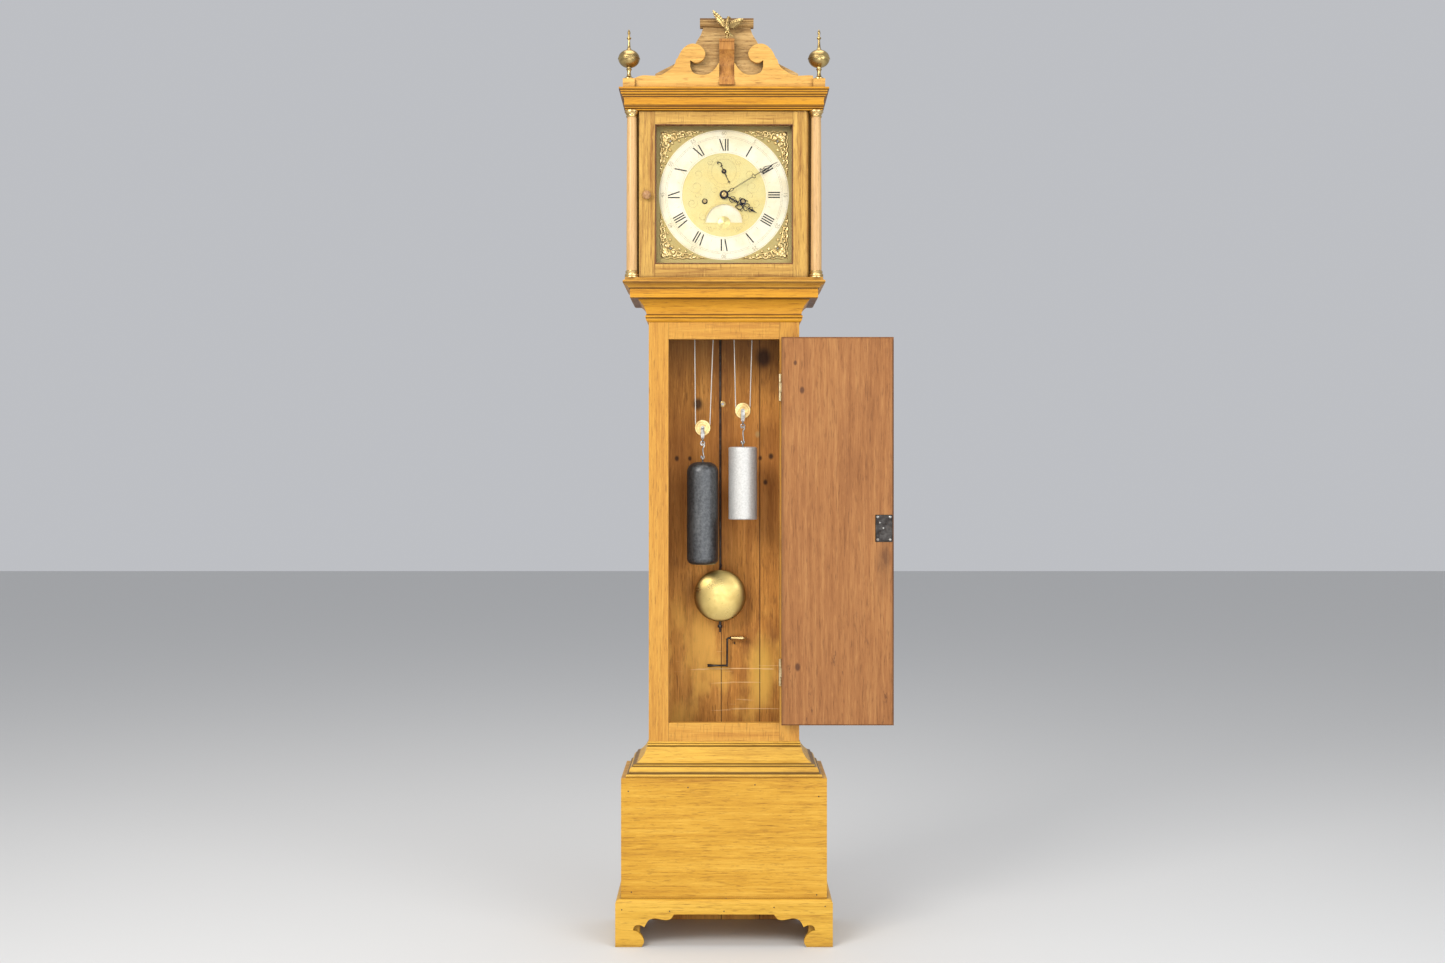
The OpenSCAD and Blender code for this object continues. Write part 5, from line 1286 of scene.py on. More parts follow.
def scroll(centre, radius, start, turns, shrink, steps=34, hand=1):
    """Spiral of [x, z] points that winds inwards."""
    points = []
    for k in range(steps + 1):
        t = k / steps
        a = math.radians(start + hand * 360 * turns * t)
        r = radius * (1 - (1 - shrink) * t)
        points.append((centre[0] + r * math.cos(a), centre[1] + r * math.sin(a)))
    return points


def build_engraving():
    """Foliage engraved in the dial's centre, around the date opening and on the date boss."""
    lines = Shape()
    leaf = ((-62, 18, 15, 200, 1.3, 1), (-70, -18, 12, 30, 1.4, -1), (-58, 46, 11, 250, 1.2, 1),
            (-32, 72, 8, 120, 1.3, -1), (-46, -48, 10, 100, 1.3, 1), (-58, -2, 9, 300, 1.2, 1),
            (-30, -74, 7, 20, 1.3, -1), (-20, 12, 8, 160, 1.2, 1))
    for side in (-1, 1):
        for x, z, r, begin, turns, hand in leaf:
            points = [(DIAL_X - side * px, DIAL_Z + pz)
                      for px, pz in scroll((x, z), r, begin, turns, 0.2, 30, hand)]
            widths = [0.25 + 0.55 * math.sin(math.pi * k / 30) for k in range(31)]
            lines.strip(points, widths, DIAL_Y, 0.1)
            for k in (6, 12, 18):
                px, pz = points[k]
                tip = (px + 3.4 * math.cos(k), pz + 3.4 * math.sin(k))
                lines.strip([(px, pz), ((px + tip[0]) / 2 + 0.5, (pz + tip[1]) / 2), tip],
                            [0.7, 0.6, 0.15], DIAL_Y, 0.1)
    for r in (42.8, 44.4):
        lines.strip(arc((DIAL_X, DATE_Z), r, 0, 180, 60), 0.5, DIAL_Y, 0.1)
    for r in (12.8, 9.5):
        lines.strip(circle(DIAL_X, DATE_Z, r), 0.45, DIAL_Y, 0.1)
    for k in range(12):
        a = math.radians(30 * k)
        lines.strip([(DIAL_X + 2.5 * math.cos(a), DATE_Z + 2.5 * math.sin(a)),
                     (DIAL_X + 8.6 * math.cos(a + 0.3), DATE_Z + 8.6 * math.sin(a + 0.3))], [0.3, 0.7],
                    DIAL_Y, 0.1)
    for k in range(9):
        x = DIAL_X + (k - 4) * 9.5
        lines.strip(scroll((x, DATE_Z - 11 - abs(k % 2) * 3), 3.6, 90 * k, 1.2, 0.25, 18), 0.5, DIAL_Y, 0.1)
    lines.strip([(DIAL_X - 47, DATE_Z - 2.5), (DIAL_X, DATE_Z - 3.5 + 0.5), (DIAL_X + 47, DATE_Z - 2.5)],
                0.5, DIAL_Y, 0.1)
    lines.piece("dial_engraving", "case", "engraving", smooth=False)


def build_dial_furniture():
    """Winding holes and their squares, the date's boss and rim, and the bead round the dial."""
    rings, squares = Shape(), Shape()
    for side in (-1, 1):
        at = facing(side * BARREL_X, DIAL_Y, BARREL_Z)
        rings.hoop([(2.9, 0.1), (2.9, 0.8), (3.4, 1.1), (5.6, 1.1), (6.1, 0.7), (6.1, 0.0)], at, 48)
        squares.lathe([(2.6, 0.0), (2.6, 1.5), (2.2, 1.9), (0.3, 1.9)], at, 4)
    rings.piece("winding_collars", "case", "black_wax")
    squares.piece("winding_squares", "case", "case_brass", smooth=False)
    boss = Shape().lathe([(13.6, -0.2), (13.6, 0.25), (12.9, 0.6), (3.2, 0.75), (2.4, 1.2), (0.4, 1.4)],
                         facing(DIAL_X, DIAL_Y, DATE_Z), 48)
    boss.piece("date_boss", "case", "matted_brass")
    rim = Shape().strip(arc((DIAL_X, DATE_Z), 41.2, 0, 180, 60), 1.1, DIAL_Y, 0.5)
    rim.piece("date_rim", "case", "matted_brass")
    door_low, door_high = low("hood_door_glass"), high("hood_door_glass")
    bead = Shape()
    reach = HOOD_OPENING / MM - 1.0
    y = low("hood_door_frame").y + 1.4
    centre_z = (door_low.z + door_high.z) / 2
    tall = (door_high.z - door_low.z) / 2 - GLASS_LAP - 1.0
    corners = [(-reach, -tall), (reach, -tall), (reach, tall), (-reach, tall)]
    for (xa, za), (xb, zb) in zip(corners, corners[1:] + corners[:1]):
        bead.tube([(xa, y, centre_z + za), ((xa + xb) / 2, y, centre_z + (za + zb) / 2),
                   (xb, y, centre_z + zb)], 1.7, 12)
    bead.piece("dial_opening_bead", "hood_door", "dark_bead")


def spandrel_forms(shape, r):
    """Forms of one corner ornament in the quadrant right of and above the dial's centre."""
    half = high("spandrels").x
    ring = RING_R + 1.5
    y = DIAL_Y - 1.0

    def inside(x, z, margin):
        return x < half - margin and z < half - margin and math.hypot(x, z) > ring + margin

    def vine(points, thick):
        route = [Vector((DIAL_X + x, y - 0.9 * math.sin(math.pi * i / (len(points) - 1)), DIAL_Z + z))
                 for i, (x, z) in enumerate(points) if inside(x, z, 0.4)]
        if len(route) > 3:
            radii = [thick * (0.55 + 0.45 * math.sin(math.pi * i / (len(route) - 1)))
                     for i in range(len(route))]
            shape.tube(route, radii, 8, flat=0.8)

    def knob(x, z, size):
        if inside(x, z, size * 0.4):
            shape.ball((DIAL_X + x, y - 0.5, DIAL_Z + z), (size, 1.9, size))

    def leaf(x, z, length, angle):
        a = math.radians(angle)
        for k in (-1, 0, 1):
            b = a + 0.5 * k
            tip = (x + length * math.cos(b) * (1 - 0.2 * abs(k)),
                   z + length * math.sin(b) * (1 - 0.2 * abs(k)))
            vine([(x + (tip[0] - x) * t, z + (tip[1] - z) * t) for t in (0, 0.25, 0.5, 0.75, 1)], r * 0.85)

    corner = half - 9
    for x, z in ((corner, corner), (corner - 3, corner - 14), (corner - 14, corner - 3)):
        knob(x, z, 4.6)
    shape.ball((DIAL_X + corner - 6.5, y - 1.0, DIAL_Z + corner - 6.5), (5.4, 2.4, 6.6),
               (0, math.radians(45), 0))
    for flip in (False, True):
        def put(points, thick):
            vine([(b, a) for a, b in points] if flip else points, thick)

        def add_knob(a, b, size):
            knob(*((b, a) if flip else (a, b)), size)

        def add_leaf(a, b, length, angle):
            if flip:
                leaf(b, a, length, 90 - angle)
            else:
                leaf(a, b, length, angle)

        put(scroll((half - 17, half - 32), 9.5, 95, 1.55, 0.16, 40, -1), r * 1.15)
        put(scroll((half - 9.5, half - 51), 6.6, 250, 1.4, 0.2, 34), r)
        put(scroll((half - 30, half - 17.5), 5.0, 20, 1.3, 0.2, 28, -1), r * 0.9)
        put(scroll((half - 8.2, half - 68), 5.0, 100, 1.3, 0.2, 28, -1), r * 0.9)
        put(scroll((half - 6.2, half - 83), 3.6, 250, 1.2, 0.25, 24), r * 0.8)
        put([(half - 3.4 - 1.4 * math.sin(k * 0.9), half - 4 - 100 * k / 40) for k in range(41)], r * 0.8)
        put([(half - 24 + 12 * math.sin(k / 14), half - 23 - 52 * k / 24) for k in range(25)], r * 0.9)
        add_knob(half - 17, half - 32, 2.7)
        add_knob(half - 9.5, half - 51, 2.2)
        add_knob(half - 4.5, half - 96, 2.2)
        add_knob(half - 6.4, half - 92.5, 1.7)
        add_knob(half - 3.2, half - 100.5, 1.6)
        for x, z, length, angle in ((half - 11, half - 20, 8, 60), (half - 22, half - 42, 7, 230),
                                    (half - 12, half - 42, 7, 10), (half - 16, half - 58, 6, 200),
                                    (half - 6, half - 60, 6, 280), (half - 11, half - 74, 5, 170),
                                    (half - 6, half - 76, 5, 290), (half - 26, half - 27, 7, 215),
                                    (half - 5, half - 90, 4, 250), (half - 10, half - 33, 6, 340)):
            add_leaf(x, z, length, angle)


def build_spandrels():
    """Four cast scroll ornaments in the corners of the dial."""
    first = Shape()
    spandrel_forms(first, sizes().scroll / MM)
    pattern = first.piece("corner_ornament_1", None, "gilt_casting")
    cast(pattern, 0.6 * MM, 1)
    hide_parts("spandrels")
    pieces = [pattern]
    for k in range(1, 4):
        mesh = pattern.data.copy()
        turn = Matrix.Rotation(math.radians(90 * k), 4, "Y")
        centre = Matrix.Translation((DIAL_X * MM, 0, DIAL_Z * MM))
        mesh.transform(centre @ turn @ centre.inverted())
        piece = bpy.data.objects.new(f"corner_ornament_{k + 1}", mesh)
        bpy.context.scene.collection.objects.link(piece)
        pieces.append(piece)
    for piece in pieces:
        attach(piece, "case")
    screws = Shape()
    half = high("spandrels").x
    for sx in (-1, 1):
        for sz in (-1, 1):
            screws.lathe([(2.2, 0), (2.2, 3.2), (1.6, 3.8)],
                         facing(DIAL_X + sx * (half - 25), DIAL_Y, DIAL_Z + sz * (half - 25)), 18)
    screws.piece("ornament_screws", "case", "grey_steel")


# ---- Hands ----

def hand_forms(name, angle, pivot, y, body, forms, node, voxel=0.28):
    """Flat pierced hand from strips drawn pointing up, then turned clockwise to where it stands."""
    shape = Shape()
    for points, width in forms:
        shape.strip(points, width, y, 1.1)
    turn = Matrix.Translation((pivot[0], 0, pivot[1])) @ Matrix.Rotation(math.radians(angle), 4, "Y")
    shape.verts = [turn @ Vector(v) for v in shape.verts]
    piece = shape.piece(name, body, "blued_steel", node=node)
    cast(piece, voxel * MM, 1)
    return piece


def loop(cx, cz, rx, rz, lean=0.0, steps=28):
    """Closed oval of [x, z] points."""
    points = []
    for k in range(steps):
        a = 2 * math.pi * k / steps
        px, pz = rx * math.cos(a), rz * math.sin(a)
        points.append((cx + px * math.cos(lean) - pz * math.sin(lean),
                       cz + px * math.sin(lean) + pz * math.cos(lean)))
    return points + [points[0]]


def taper(a, b, steps=8):
    return [(a[0] + (b[0] - a[0]) * k / steps, a[1] + (b[1] - a[1]) * k / steps) for k in range(steps + 1)]


def build_hands():
    """Pierced hour hand, long minute hand, seconds hand with its curled tail, and the collet."""
    hour_y, minute_y, seconds_y = (high(n).y for n in ("hour_hand", "minute_hand", "seconds_hand"))
    pivot = (DIAL_X, DIAL_Z)
    hour = [(circle(0, 0, 7.6, 40), 4.6), (taper((0, 9), (0, 16)), 2.6)]
    for side in (-1, 1):
        hour += [(loop(side * 3.6, 20.5, 2.6, 5.2, -side * 0.25), 1.5),
                 (spline2([(side * 0.6, 26), (side * 2.8, 29), (side * 1.0, 32.5), (side * 3.2, 35)]), 1.3),
                 (loop(side * 7.2, 43.5, 5.4, 6.4, side * 0.35), 1.9),
                 (spline2([(side * 1, 35), (side * 5.6, 36.4), (side * 10.2, 34.2),
                           (side * 12.4, 36.6)]), 1.4),
                 (spline2([(side * 11.6, 47.5), (side * 13.6, 50.5), (side * 11.2, 53)]), 1.4),
                 (spline2([(side * 1.2, 50), (side * 6.4, 53), (side * 8.2, 58), (side * 4.8, 61.2),
                           (side * 2.6, 58.4)]), 1.6),
                 (spline2([(side * 1.0, 62), (side * 4.2, 65.4), (side * 5.4, 69.2),
                           (side * 2.4, 70.4)]), 1.3)]
    hour += [(taper((0, 16), (0, 36)), 1.9), (taper((0, 36), (0, 62)), 1.5),
             (taper((0, 62), (0, 83), 10), [3.4, 2.8, 2.4, 3.4, 5.4, 4.4, 3.2, 2.2, 1.5, 1.0, 0.6])]
    hand_forms("hour_hand_pierced", HOUR_ANGLE, pivot, hour_y, "hour_arbor", hour, "hour_hand")
    minute = [(circle(0, 0, 6.2, 36), 4.0), (taper((0, 7), (0, 16)), 3.4), (loop(0, 19.5, 2.6, 4.6), 1.3)]
    for side in (-1, 1):
        minute += [(taper((side * 0.9, 23), (side * 0.75, 74)), 0.75),
                   (spline2([(side * 0.8, 73), (side * 3.8, 75.5), (side * 4.6, 78.2),
                             (side * 1.6, 79.5)]), 1.2),
                   (taper((side * 0.7, 80), (side * 0.6, 95)), 0.7),
                   (spline2([(side * 0.8, 95), (side * 4.2, 98.5), (side * 2.4, 102.5), (side * 4.8, 107),
                             (side * 3.6, 113), (side * 1.0, 119), (side * 0.5, 124)]), 1.4),
                   (spline2([(side * 4.4, 98), (side * 6.4, 96.2), (side * 6.2, 100)]), 1.1)]
    minute += [(taper((0, 79), (0, 81)), 2.2),
               (taper((0, 101), (0, 113)), 0.9),
               (loop(0, 107, 1.9, 2.3), 0.9),
               (taper((0, 122), (0, 138)), [1.9, 1.7, 1.5, 1.3, 1.1, 1.0, 0.9, 0.7, 0.5])]
    hand_forms("minute_hand_pierced", MINUTE_ANGLE, pivot, minute_y, "centre_arbor", minute, "minute_hand")
    seconds = [(circle(0, 0, 3.5, 30), 3.6),
               (taper((0, 3), (0, 31)), [1.7, 1.6, 1.4, 1.3, 1.2, 1.1, 1.0, 0.8, 0.5]),
               (taper((-3.0, 25.6), (3.0, 25.6)), [0.8, 1.4, 1.6, 1.5, 1.4, 1.5, 1.6, 1.4, 0.8]),
               (taper((-2.2, 11), (2.2, 11)), 1.2),
               (taper((0, -3), (0, -13)), 1.6),
               (taper((-3.0, -13), (3.0, -13)), 1.5),
               (spline2([(0, -13), (-1.8, -17), (-0.4, -21), (3.2, -24.2), (5.6, -22),
                         (4.4, -19.6)]), 1.9)]
    hand_forms("seconds_hand_curled", SECONDS_ANGLE, (DIAL_X, SECONDS_Z), seconds_y, "escape_arbor",
               seconds, "seconds_hand", 0.24)
    collet = Shape().lathe([(5.6, -0.1), (5.6, 0.6), (4.6, 1.5), (3.4, 2.1), (1.4, 2.3), (0.4, 2.3)],
                           facing(DIAL_X, low("minute_hand").y, DIAL_Z), 40)
    collet.piece("hand_collet", "centre_arbor", "case_brass")


def spline2(points, steps=7):
    """Smooth flat curve through [x, z] points."""
    return [(p.x, p.y) for p in spline([Vector((x, z, 0)) for x, z in points], steps)]


# ---- Weights, pulleys, lines and pendulum ----

def pulley(name, at, body, node):
    """Grooved brass pulley with turned rings and a steel pin."""
    half_t = (high(node).y - low(node).y) / 2
    r = (high(node).z - low(node).z) / 2
    wheel = Shape()
    side = [(1.6, half_t * 0.6), (3.4, half_t * 0.6), (3.6, half_t), (5.6, half_t), (5.9, half_t * 0.45),
            (8.4, half_t * 0.4), (8.7, half_t * 0.62), (9.6, half_t * 0.62), (9.9, half_t * 0.4),
            (r - 5.0, half_t * 0.45), (r - 4.4, half_t * 0.95), (r - 1.0, half_t), (r, half_t * 0.8),
            (r - 0.6, half_t * 0.55), (r - 2.4, half_t * 0.36), (r - 3.3, 0)]
    profile = side + [(a, -b) for a, b in side[::-1][1:]]
    wheel.hoop(profile, Matrix.Translation(at) @ ALONG_Y, 80)
    wheel.piece(name, body, "case_brass", node=node)


def build_pulleys():
    pulley("going_pulley_turned", GOING, "going_pulley", "going_pulley")
    pulley("strike_pulley_turned", STRIKE, "strike_pulley", "strike_pulley")


def hook(name, at, weight_top, body, node, finish):
    """Stirrup over the pulley, its pin, the hook below it and the weight's eye."""
    y0, y1 = low(node).y, high(node).y
    forms = Shape()
    x, z = at.x, at.z
    gap = (y1 - y0) / 2 - 2.2
    strap_y = gap + 0.4
    for side in (-1, 1):
        y = at.y + side * strap_y
        outline = [(x + 4.2 * math.cos(math.radians(a)), z + 4.2 * math.sin(math.radians(a)))
                   for a in range(0, 181, 12)]
        outline += [(x - 4.0, z - 18), (x - 3.2, z - 24), (x + 3.2, z - 24), (x + 4.0, z - 18)]
        forms.slab(outline, y + 0.75, 1.5)
        forms.lathe([(3.0, 0), (3.0, 0.8), (2.1, 1.5), (0.4, 1.7)],
                    Matrix.Translation((x, y + side * 0.7, z))
                    @ Matrix.Rotation(math.radians(90 * side), 4, "X").inverted(), 20)
    forms.tube([(x, at.y - gap - 0.8, z), (x, at.y + gap + 0.8, z)], 1.55, 16)
    bridge = spline([(x, at.y - strap_y, z - 22), (x, at.y - strap_y * 0.8, z - 27), (x, at.y, z - 29.5),
                     (x, at.y + strap_y * 0.8, z - 27), (x, at.y + strap_y, z - 22)], 8)
    forms.tube(bridge, 1.9, 12)
    neck = z - 31
    span = neck - weight_top
    eye_r = 4.6
    eye_z = weight_top + 8.5
    ring_z = neck - 3.6
    ring = [(x + 4.4 * math.cos(math.radians(a)), at.y, ring_z + 4.4 * math.sin(math.radians(a)))
            for a in range(90, 451, 15)]
    forms.tube(ring, 1.5, 12)
    upper = [(x + 4.0 * math.cos(math.radians(a)), at.y, ring_z - 5.4 + 4.0 * math.sin(math.radians(a)))
             for a in range(170, -71, -15)]
    hook_low = eye_z + 2.6
    lower = [(x - 3.4 * math.sin(math.radians(a)), at.y, hook_low + 3.4 * math.cos(math.radians(a)))
             for a in range(40, 321, 20)]
    forms.tube(upper, 1.65, 12)
    shank = spline([upper[-1], (x + 0.4, at.y + 0.8, (ring_z - 4.2 + hook_low) / 2 + span * 0.05),
                    lower[-1]], 8)
    forms.tube(shank, 1.7, 12)
    forms.tube(lower[::-1], 1.7, 12)
    eye = [(x, at.y + eye_r * math.cos(math.radians(a)), eye_z + eye_r * math.sin(math.radians(a)) - 1.4)
           for a in range(-90, 271, 15)]
    forms.tube(eye, 1.8, 12)
    forms.tube([(x, at.y, weight_top - 0.5), (x, at.y, weight_top + 3.6)], 2.1, 14)
    forms.piece(name, body, finish, node=node)


def weight(name, node, body, finish, round_top, round_foot):
    """Cast weight with softened ends and a slightly uneven side."""
    a, b = low(node), high(node)
    r = (b.x - a.x) / 2
    height = b.z - a.z
    rng = random.Random(len(name))
    profile = [(0.6, 0.4), (r * 0.5, 0.2)]
    profile += [(r - round_foot + round_foot * math.sin(math.radians(t)),
                 round_foot - round_foot * math.cos(math.radians(t))) for t in range(0, 91, 10)]
    for k in range(1, 24):
        profile.append((r - 0.25 * rng.random(), round_foot + (height - round_foot - round_top) * k / 24))
    profile += [(r - round_top + round_top * math.cos(math.radians(t)),
                 height - round_top + round_top * math.sin(math.radians(t))) for t in range(0, 91, 10)]
    profile += [(r * 0.4, height), (0.6, height)]
    Shape().lathe(profile, Matrix.Translation((middle(node).x, middle(node).y, a.z)), 72).piece(
        name, body, finish, node=node)


def build_weights():
    """The two driving weights with their stirrups and hooks."""
    weight("strike_weight_cast", "strike_weight", "strike_weight", "black_iron", 23.0, 14.0)
    weight("going_weight_cast", "going_weight", "going_weight", "pale_lead", 4.0, 3.0)
    hook("going_hook_bent", GOING, high("going_weight").z, "going_weight", "going_hook", "grey_steel")
    hook("strike_hook_bent", STRIKE, high("strike_weight").z, "strike_weight", "strike_hook", "grey_steel")


def build_lines():
    """Lines that run from each barrel down to its pulley and back up to the seatboard."""
    r = sizes().line / MM
    for name, at, body in (("going", GOING, "going_weight"), ("strike", STRIKE, "strike_weight")):
        start, end = low(f"{name}_line"), high(f"{name}_line")
        leave = start.x + LINE_INSET
        fixed = end.x - LINE_INSET
        wrap = at.z - start.z - LINE_INSET
        top = end.z
        left = [(leave + (at.x - wrap - leave) * t, LINE_Y, top + (at.z - top) * t) for t in
                [k / 60 for k in range(60)]]
        turn = [(at.x - wrap * math.cos(math.radians(a)), LINE_Y, at.z - wrap * math.sin(math.radians(a)))
                for a in range(0, 181, 9)]
        right = [(at.x + wrap + (fixed - at.x - wrap) * t, LINE_Y, at.z + (SEAT_Z - at.z) * t) for t in
                 [k / 50 for k in range(1, 51)]]
        line = Shape().tube(left + turn + right, r, 10)
        piece = line.piece(f"{name}_line_laid", None, "laid_line", node=f"{name}_line")
        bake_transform(piece)


def build_pendulum():
    """Brass bob, and the iron rod with its spring, the small hook above the bob and the rating nut."""
    y = middle("pendulum_rod").y
    rise = y - low("pendulum_bob").y
    face = [(BOB_R * math.sin(t), rise * (0.06 + 0.94 * math.cos(t) ** 1.3)) for t in
            [math.radians(3 * k) for k in range(0, 30)]]
    lens = ([(0.6, rise)] + face[1:] + [(BOB_R, 1.0), (BOB_R, -1.0)]
            + [(a, -b) for a, b in face[:0:-1]] + [(0.6, -rise)])
    bob = Shape().lathe(lens[::-1], facing(PENDULUM_X, y, BOB_Z), 96)
    bob.piece("pendulum_bob_spun", "pendulum", "bob_brass", node="pendulum_bob")
    rod_low, rod_high = low("pendulum_rod"), high("pendulum_rod")
    rod = Shape().tube([(PENDULUM_X, y, rod_low.z), (PENDULUM_X, y, rod_high.z - 60)], 1.9, 14)
    top = BOB_Z + BOB_R
    loop_points = spline([(PENDULUM_X, y - 2, top + 4), (PENDULUM_X + 3.4, y - 2.6, top + 7.5),
                          (PENDULUM_X + 3.6, y - 2.6, top + 12), (PENDULUM_X + 0.6, y - 2.2, top + 15)], 8)
    rod.tube(loop_points, 1.0, 10)
    nut = [(2.6, 0), (5.2, 0.5), (5.4, 1.4), (5.4, 6), (5.0, 7), (2.6, 7.4), (2.6, 15)]
    rod.lathe(nut, Matrix.Translation((PENDULUM_X, y, low("pendulum_bob").z)), 28)
    rod.box((PENDULUM_X - 1.9, y - 4, rod_high.z - 62), (PENDULUM_X + 1.9, y + 4, rod_high.z - 48))
    rod.box((PENDULUM_X - 0.3, y - 4, rod_high.z - 54), (PENDULUM_X + 0.3, y + 4, rod_high.z - 2))
    rod.box((PENDULUM_X - 4.5, y - 5, rod_high.z - 4.4), (PENDULUM_X + 4.5, y + 5, rod_high.z))
    rod.piece("pendulum_rod_drawn", "pendulum", "dark_iron", node="pendulum_rod")


def build_crank():
    """Winding crank left in the bottom of the case: brass handle, dark iron arm and shaft."""
    a, b = low("winding_crank"), high("winding_crank")
    y = (a.y + b.y) / 2
    handle_z, shaft_z = b.z - 5.5, a.z + 4.5
    grip = [(3.4, 0), (4.2, 0.8), (4.4, 2), (3.6, 3), (3.9, 5), (4.7, 12), (5.2, 20), (5.1, 27),
            (4.2, 32), (3.4, 33.6), (4.3, 34.6), (3.8, 36), (1.2, 36.5)]
    along_x = Matrix.Rotation(math.radians(90), 4, "Y")
    Shape().lathe(grip, Matrix.Translation((16, y, handle_z)) @ along_x, 36).piece(
        "crank_handle", "crank", "case_brass", node="winding_crank")
    arm = Shape()
    route = spline([(16.5, y, handle_z), (12, y, handle_z), (8.6, y, handle_z - 1.5),
                    (7.6, y, handle_z - 6), (7.4, y, handle_z - 30), (7.2, y, shaft_z + 8),
                    (7, y, shaft_z)], 7)
    arm.tube(route, 2.3, 12)
    arm.lathe([(1.5, -1.2), (4.6, -1.2), (4.6, 0.6), (1.5, 0.6)],
              Matrix.Translation((15.8, y, handle_z)) @ along_x, 28)
    arm.piece("crank_arm", "crank", "dark_iron")
    shaft = Shape()
    back = Matrix.Rotation(math.radians(-90), 4, "Y")
    shaft.lathe([(1.8, -2.4), (2.9, -1.6), (3.1, 0), (2.5, 4), (2.3, 14), (2.4, 28), (3.0, 34), (3.4, 38),
                 (3.4, 45), (2.2, 45), (2.2, 36)], Matrix.Translation((7, y, shaft_z)) @ back, 32)
    shaft.piece("crank_shaft", "crank", "dark_iron")


# ---- Stage ----

def build_stage():
    """Pale floor, soft studio light and the camera."""
    floor = bpy.data.meshes.new("floor")
    verts = [(x, y, -0.0005) for x, y in ((-15, -15), (15, -15), (15, 15), (-15, 15))]
    floor.from_pydata(verts, [], [(0, 1, 2, 3)])
    floor.materials.append(finish_of("studio_floor"))
    ground = bpy.data.objects.new("floor", floor)
    bpy.context.scene.collection.objects.link(ground)
    colours = bpy.context.scene.clock_colours
    for name, place, aim, size, power, colour in (
            ("key_light", (-1.9, -3.2, 2.9), (0, -0.1, 1.1), 1.8, 105, colours.key),
            ("fill_light", (2.3, -3.0, 1.9), (0, -0.1, 1.0), 2.2, 52, colours.fill),
            ("low_light", (0.2, -3.6, 0.6), (0, -0.1, 0.8), 1.6, 26, colours.fill),
            ("top_light", (0, -0.4, 4.2), (0, -0.1, 1.0), 2.6, 60, colours.key)):
        data = bpy.data.lights.new(name, "AREA")
        data.size = size
        data.energy = power
        data.color = colour
        lamp = bpy.data.objects.new(name, data)
        lamp.location = place
        lamp.rotation_euler = (Vector(aim) - Vector(place)).to_track_quat("-Z", "Y").to_euler()
        bpy.context.scene.collection.objects.link(lamp)
    world = bpy.data.worlds.new("studio")
    world.use_nodes = True
    sky = world.node_tree.nodes["Background"]
    sky.inputs["Color"].default_value = (0.93, 0.95, 1.0, 1.0)
    sky.inputs["Strength"].default_value = 0.55
    bpy.context.scene.world = world
    camera = bpy.data.objects.new("camera", bpy.data.cameras.new("camera"))
    camera.data.lens = 41.53
    camera.data.sensor_width = 36.0
    camera.location = (-0.0033, -3.872, 1.0137)
    camera.rotation_euler = (math.radians(90), 0, 0)
    bpy.context.scene.collection.objects.link(camera)
    bpy.context.scene.camera = camera
    bpy.context.scene.view_settings.view_transform = "Standard"


# ---- Operators and panel ----

class CLOCK_OT_finishes(bpy.types.Operator):
    """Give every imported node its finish"""
    bl_idname = "clock.finishes"
    bl_label = "Finishes"
    bl_options = {"REGISTER", "UNDO"}

    def execute(self, context):
        finish_nodes()
        return {"FINISHED"}


class CLOCK_OT_case(bpy.types.Operator):
    """Build the nails, hinge screws and wall washer of the case"""
    bl_idname = "clock.case"
    bl_label = "Case details"
    bl_options = {"REGISTER", "UNDO"}

    def execute(self, context):
        build_case_details()
        return {"FINISHED"}


class CLOCK_OT_door(bpy.types.Operator):
    """Build the lock's screws, rivets and rim"""
    bl_idname = "clock.door"
    bl_label = "Trunk door details"
    bl_options = {"REGISTER", "UNDO"}

    def execute(self, context):
        build_door_details()
        return {"FINISHED"}


class CLOCK_OT_hood(bpy.types.Operator):
    """Build the hood's columns, finials and knob"""
    bl_idname = "clock.hood"
    bl_label = "Hood turnings"
    bl_options = {"REGISTER", "UNDO"}

    def execute(self, context):
        build_hood_turnings()
        return {"FINISHED"}


class CLOCK_OT_eagle(bpy.types.Operator):
    """Build the eagle finial"""
    bl_idname = "clock.eagle"
    bl_label = "Eagle"
    bl_options = {"REGISTER", "UNDO"}

    def execute(self, context):
        build_eagle()
        return {"FINISHED"}


class CLOCK_OT_dial(bpy.types.Operator):
    """Build the numerals, tracks, engraving and furniture of the dial"""
    bl_idname = "clock.dial"
    bl_label = "Dial"
    bl_options = {"REGISTER", "UNDO"}

    def execute(self, context):
        build_numerals()
        build_minute_figures()
        build_tracks()
        build_engraving()
        build_dial_furniture()
        return {"FINISHED"}


class CLOCK_OT_spandrels(bpy.types.Operator):
    """Build the corner ornaments"""
    bl_idname = "clock.spandrels"
    bl_label = "Corner ornaments"
    bl_options = {"REGISTER", "UNDO"}

    def execute(self, context):
        build_spandrels()
        return {"FINISHED"}


class CLOCK_OT_hands(bpy.types.Operator):
    """Build the three hands"""
    bl_idname = "clock.hands"
    bl_label = "Hands"
    bl_options = {"REGISTER", "UNDO"}

    def execute(self, context):
        build_hands()
        return {"FINISHED"}


class CLOCK_OT_weights(bpy.types.Operator):
    """Build the pulleys, weights, hooks and lines"""
    bl_idname = "clock.weights"
    bl_label = "Weights and lines"
    bl_options = {"REGISTER", "UNDO"}

    def execute(self, context):
        build_pulleys()
        build_weights()
        build_lines()
        return {"FINISHED"}


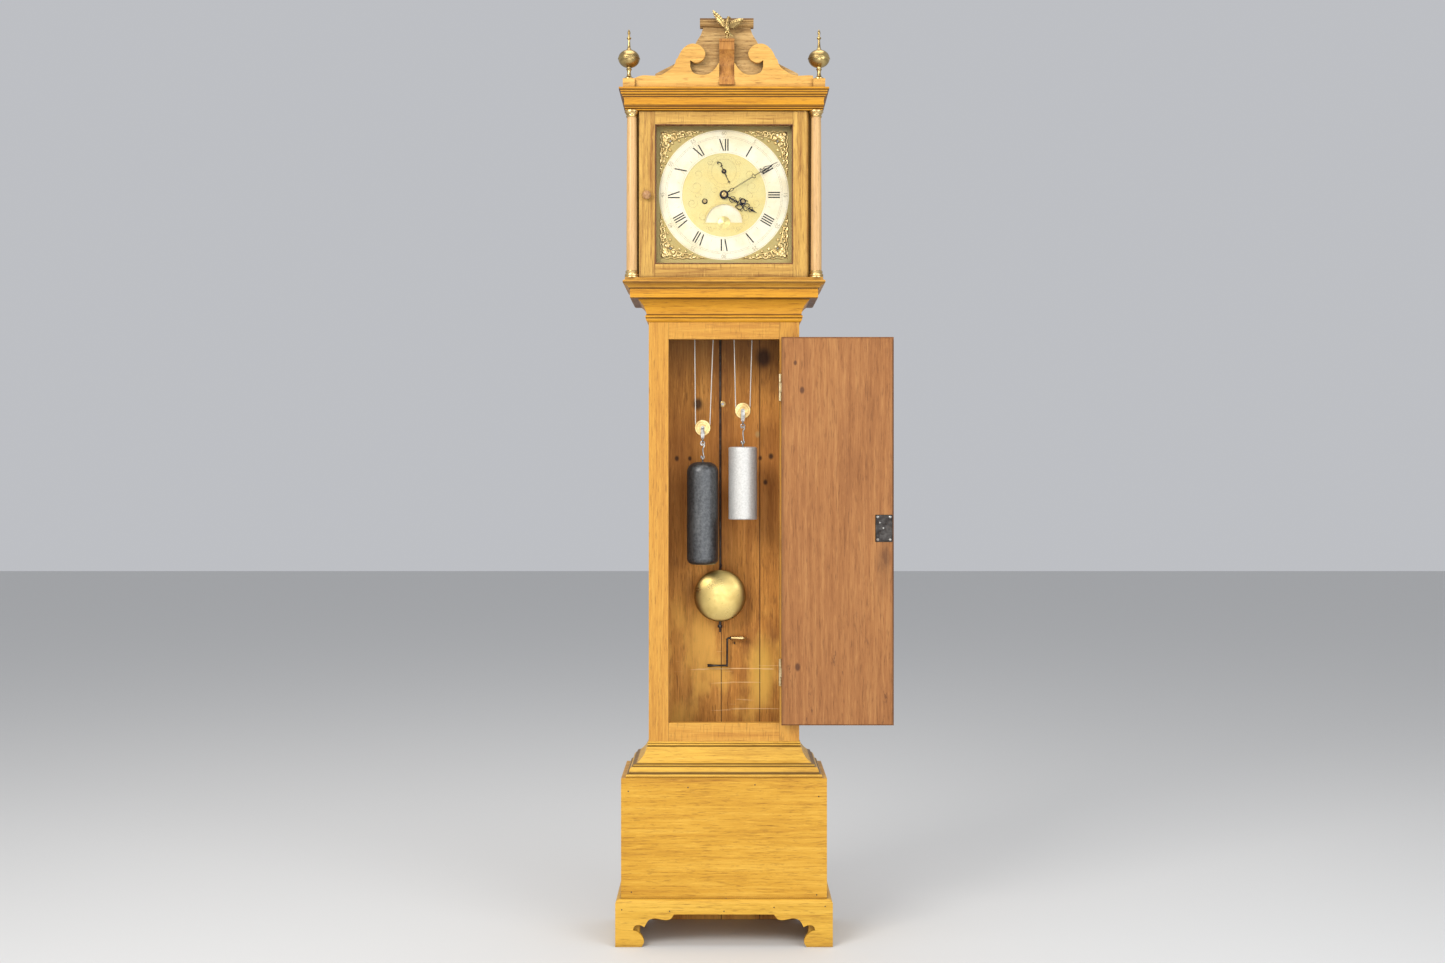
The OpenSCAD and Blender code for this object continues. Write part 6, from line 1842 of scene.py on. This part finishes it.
class CLOCK_OT_pendulum(bpy.types.Operator):
    """Build the pendulum"""
    bl_idname = "clock.pendulum"
    bl_label = "Pendulum"
    bl_options = {"REGISTER", "UNDO"}

    def execute(self, context):
        build_pendulum()
        return {"FINISHED"}


class CLOCK_OT_crank(bpy.types.Operator):
    """Build the winding crank"""
    bl_idname = "clock.crank"
    bl_label = "Winding crank"
    bl_options = {"REGISTER", "UNDO"}

    def execute(self, context):
        build_crank()
        return {"FINISHED"}


class CLOCK_OT_stage(bpy.types.Operator):
    """Build the floor, lights and camera"""
    bl_idname = "clock.stage"
    bl_label = "Stage"
    bl_options = {"REGISTER", "UNDO"}

    def execute(self, context):
        build_stage()
        return {"FINISHED"}


OPERATORS = (CLOCK_OT_finishes, CLOCK_OT_case, CLOCK_OT_door, CLOCK_OT_hood, CLOCK_OT_eagle, CLOCK_OT_dial,
             CLOCK_OT_spandrels, CLOCK_OT_hands, CLOCK_OT_weights, CLOCK_OT_pendulum, CLOCK_OT_crank,
             CLOCK_OT_stage)


class CLOCK_PT_panel(bpy.types.Panel):
    """Build steps and sizes of the clock"""
    bl_label = "Longcase clock"
    bl_idname = "CLOCK_PT_panel"
    bl_space_type = "VIEW_3D"
    bl_region_type = "UI"
    bl_category = "Clock"

    def draw(self, context):
        for step in OPERATORS:
            self.layout.operator(step.bl_idname, text=step.bl_label)
        for name in ("stroke", "line", "scroll", "bevel"):
            self.layout.prop(context.scene.clock_sizes, name)
        for name in ("key", "fill"):
            self.layout.prop(context.scene.clock_colours, name)


CLASSES = (ClockSizes, ClockColours, *OPERATORS, CLOCK_PT_panel)


def register():
    for each in CLASSES:
        bpy.utils.register_class(each)
    bpy.types.Scene.clock_sizes = PointerProperty(type=ClockSizes)
    bpy.types.Scene.clock_colours = PointerProperty(type=ClockColours)


def unregister():
    del bpy.types.Scene.clock_colours
    del bpy.types.Scene.clock_sizes
    for each in reversed(CLASSES):
        bpy.utils.unregister_class(each)


def main():
    register()
    for step in OPERATORS:
        group, name = step.bl_idname.split(".")
        getattr(getattr(bpy.ops, group), name)()


if __name__ == "__main__":
    main()
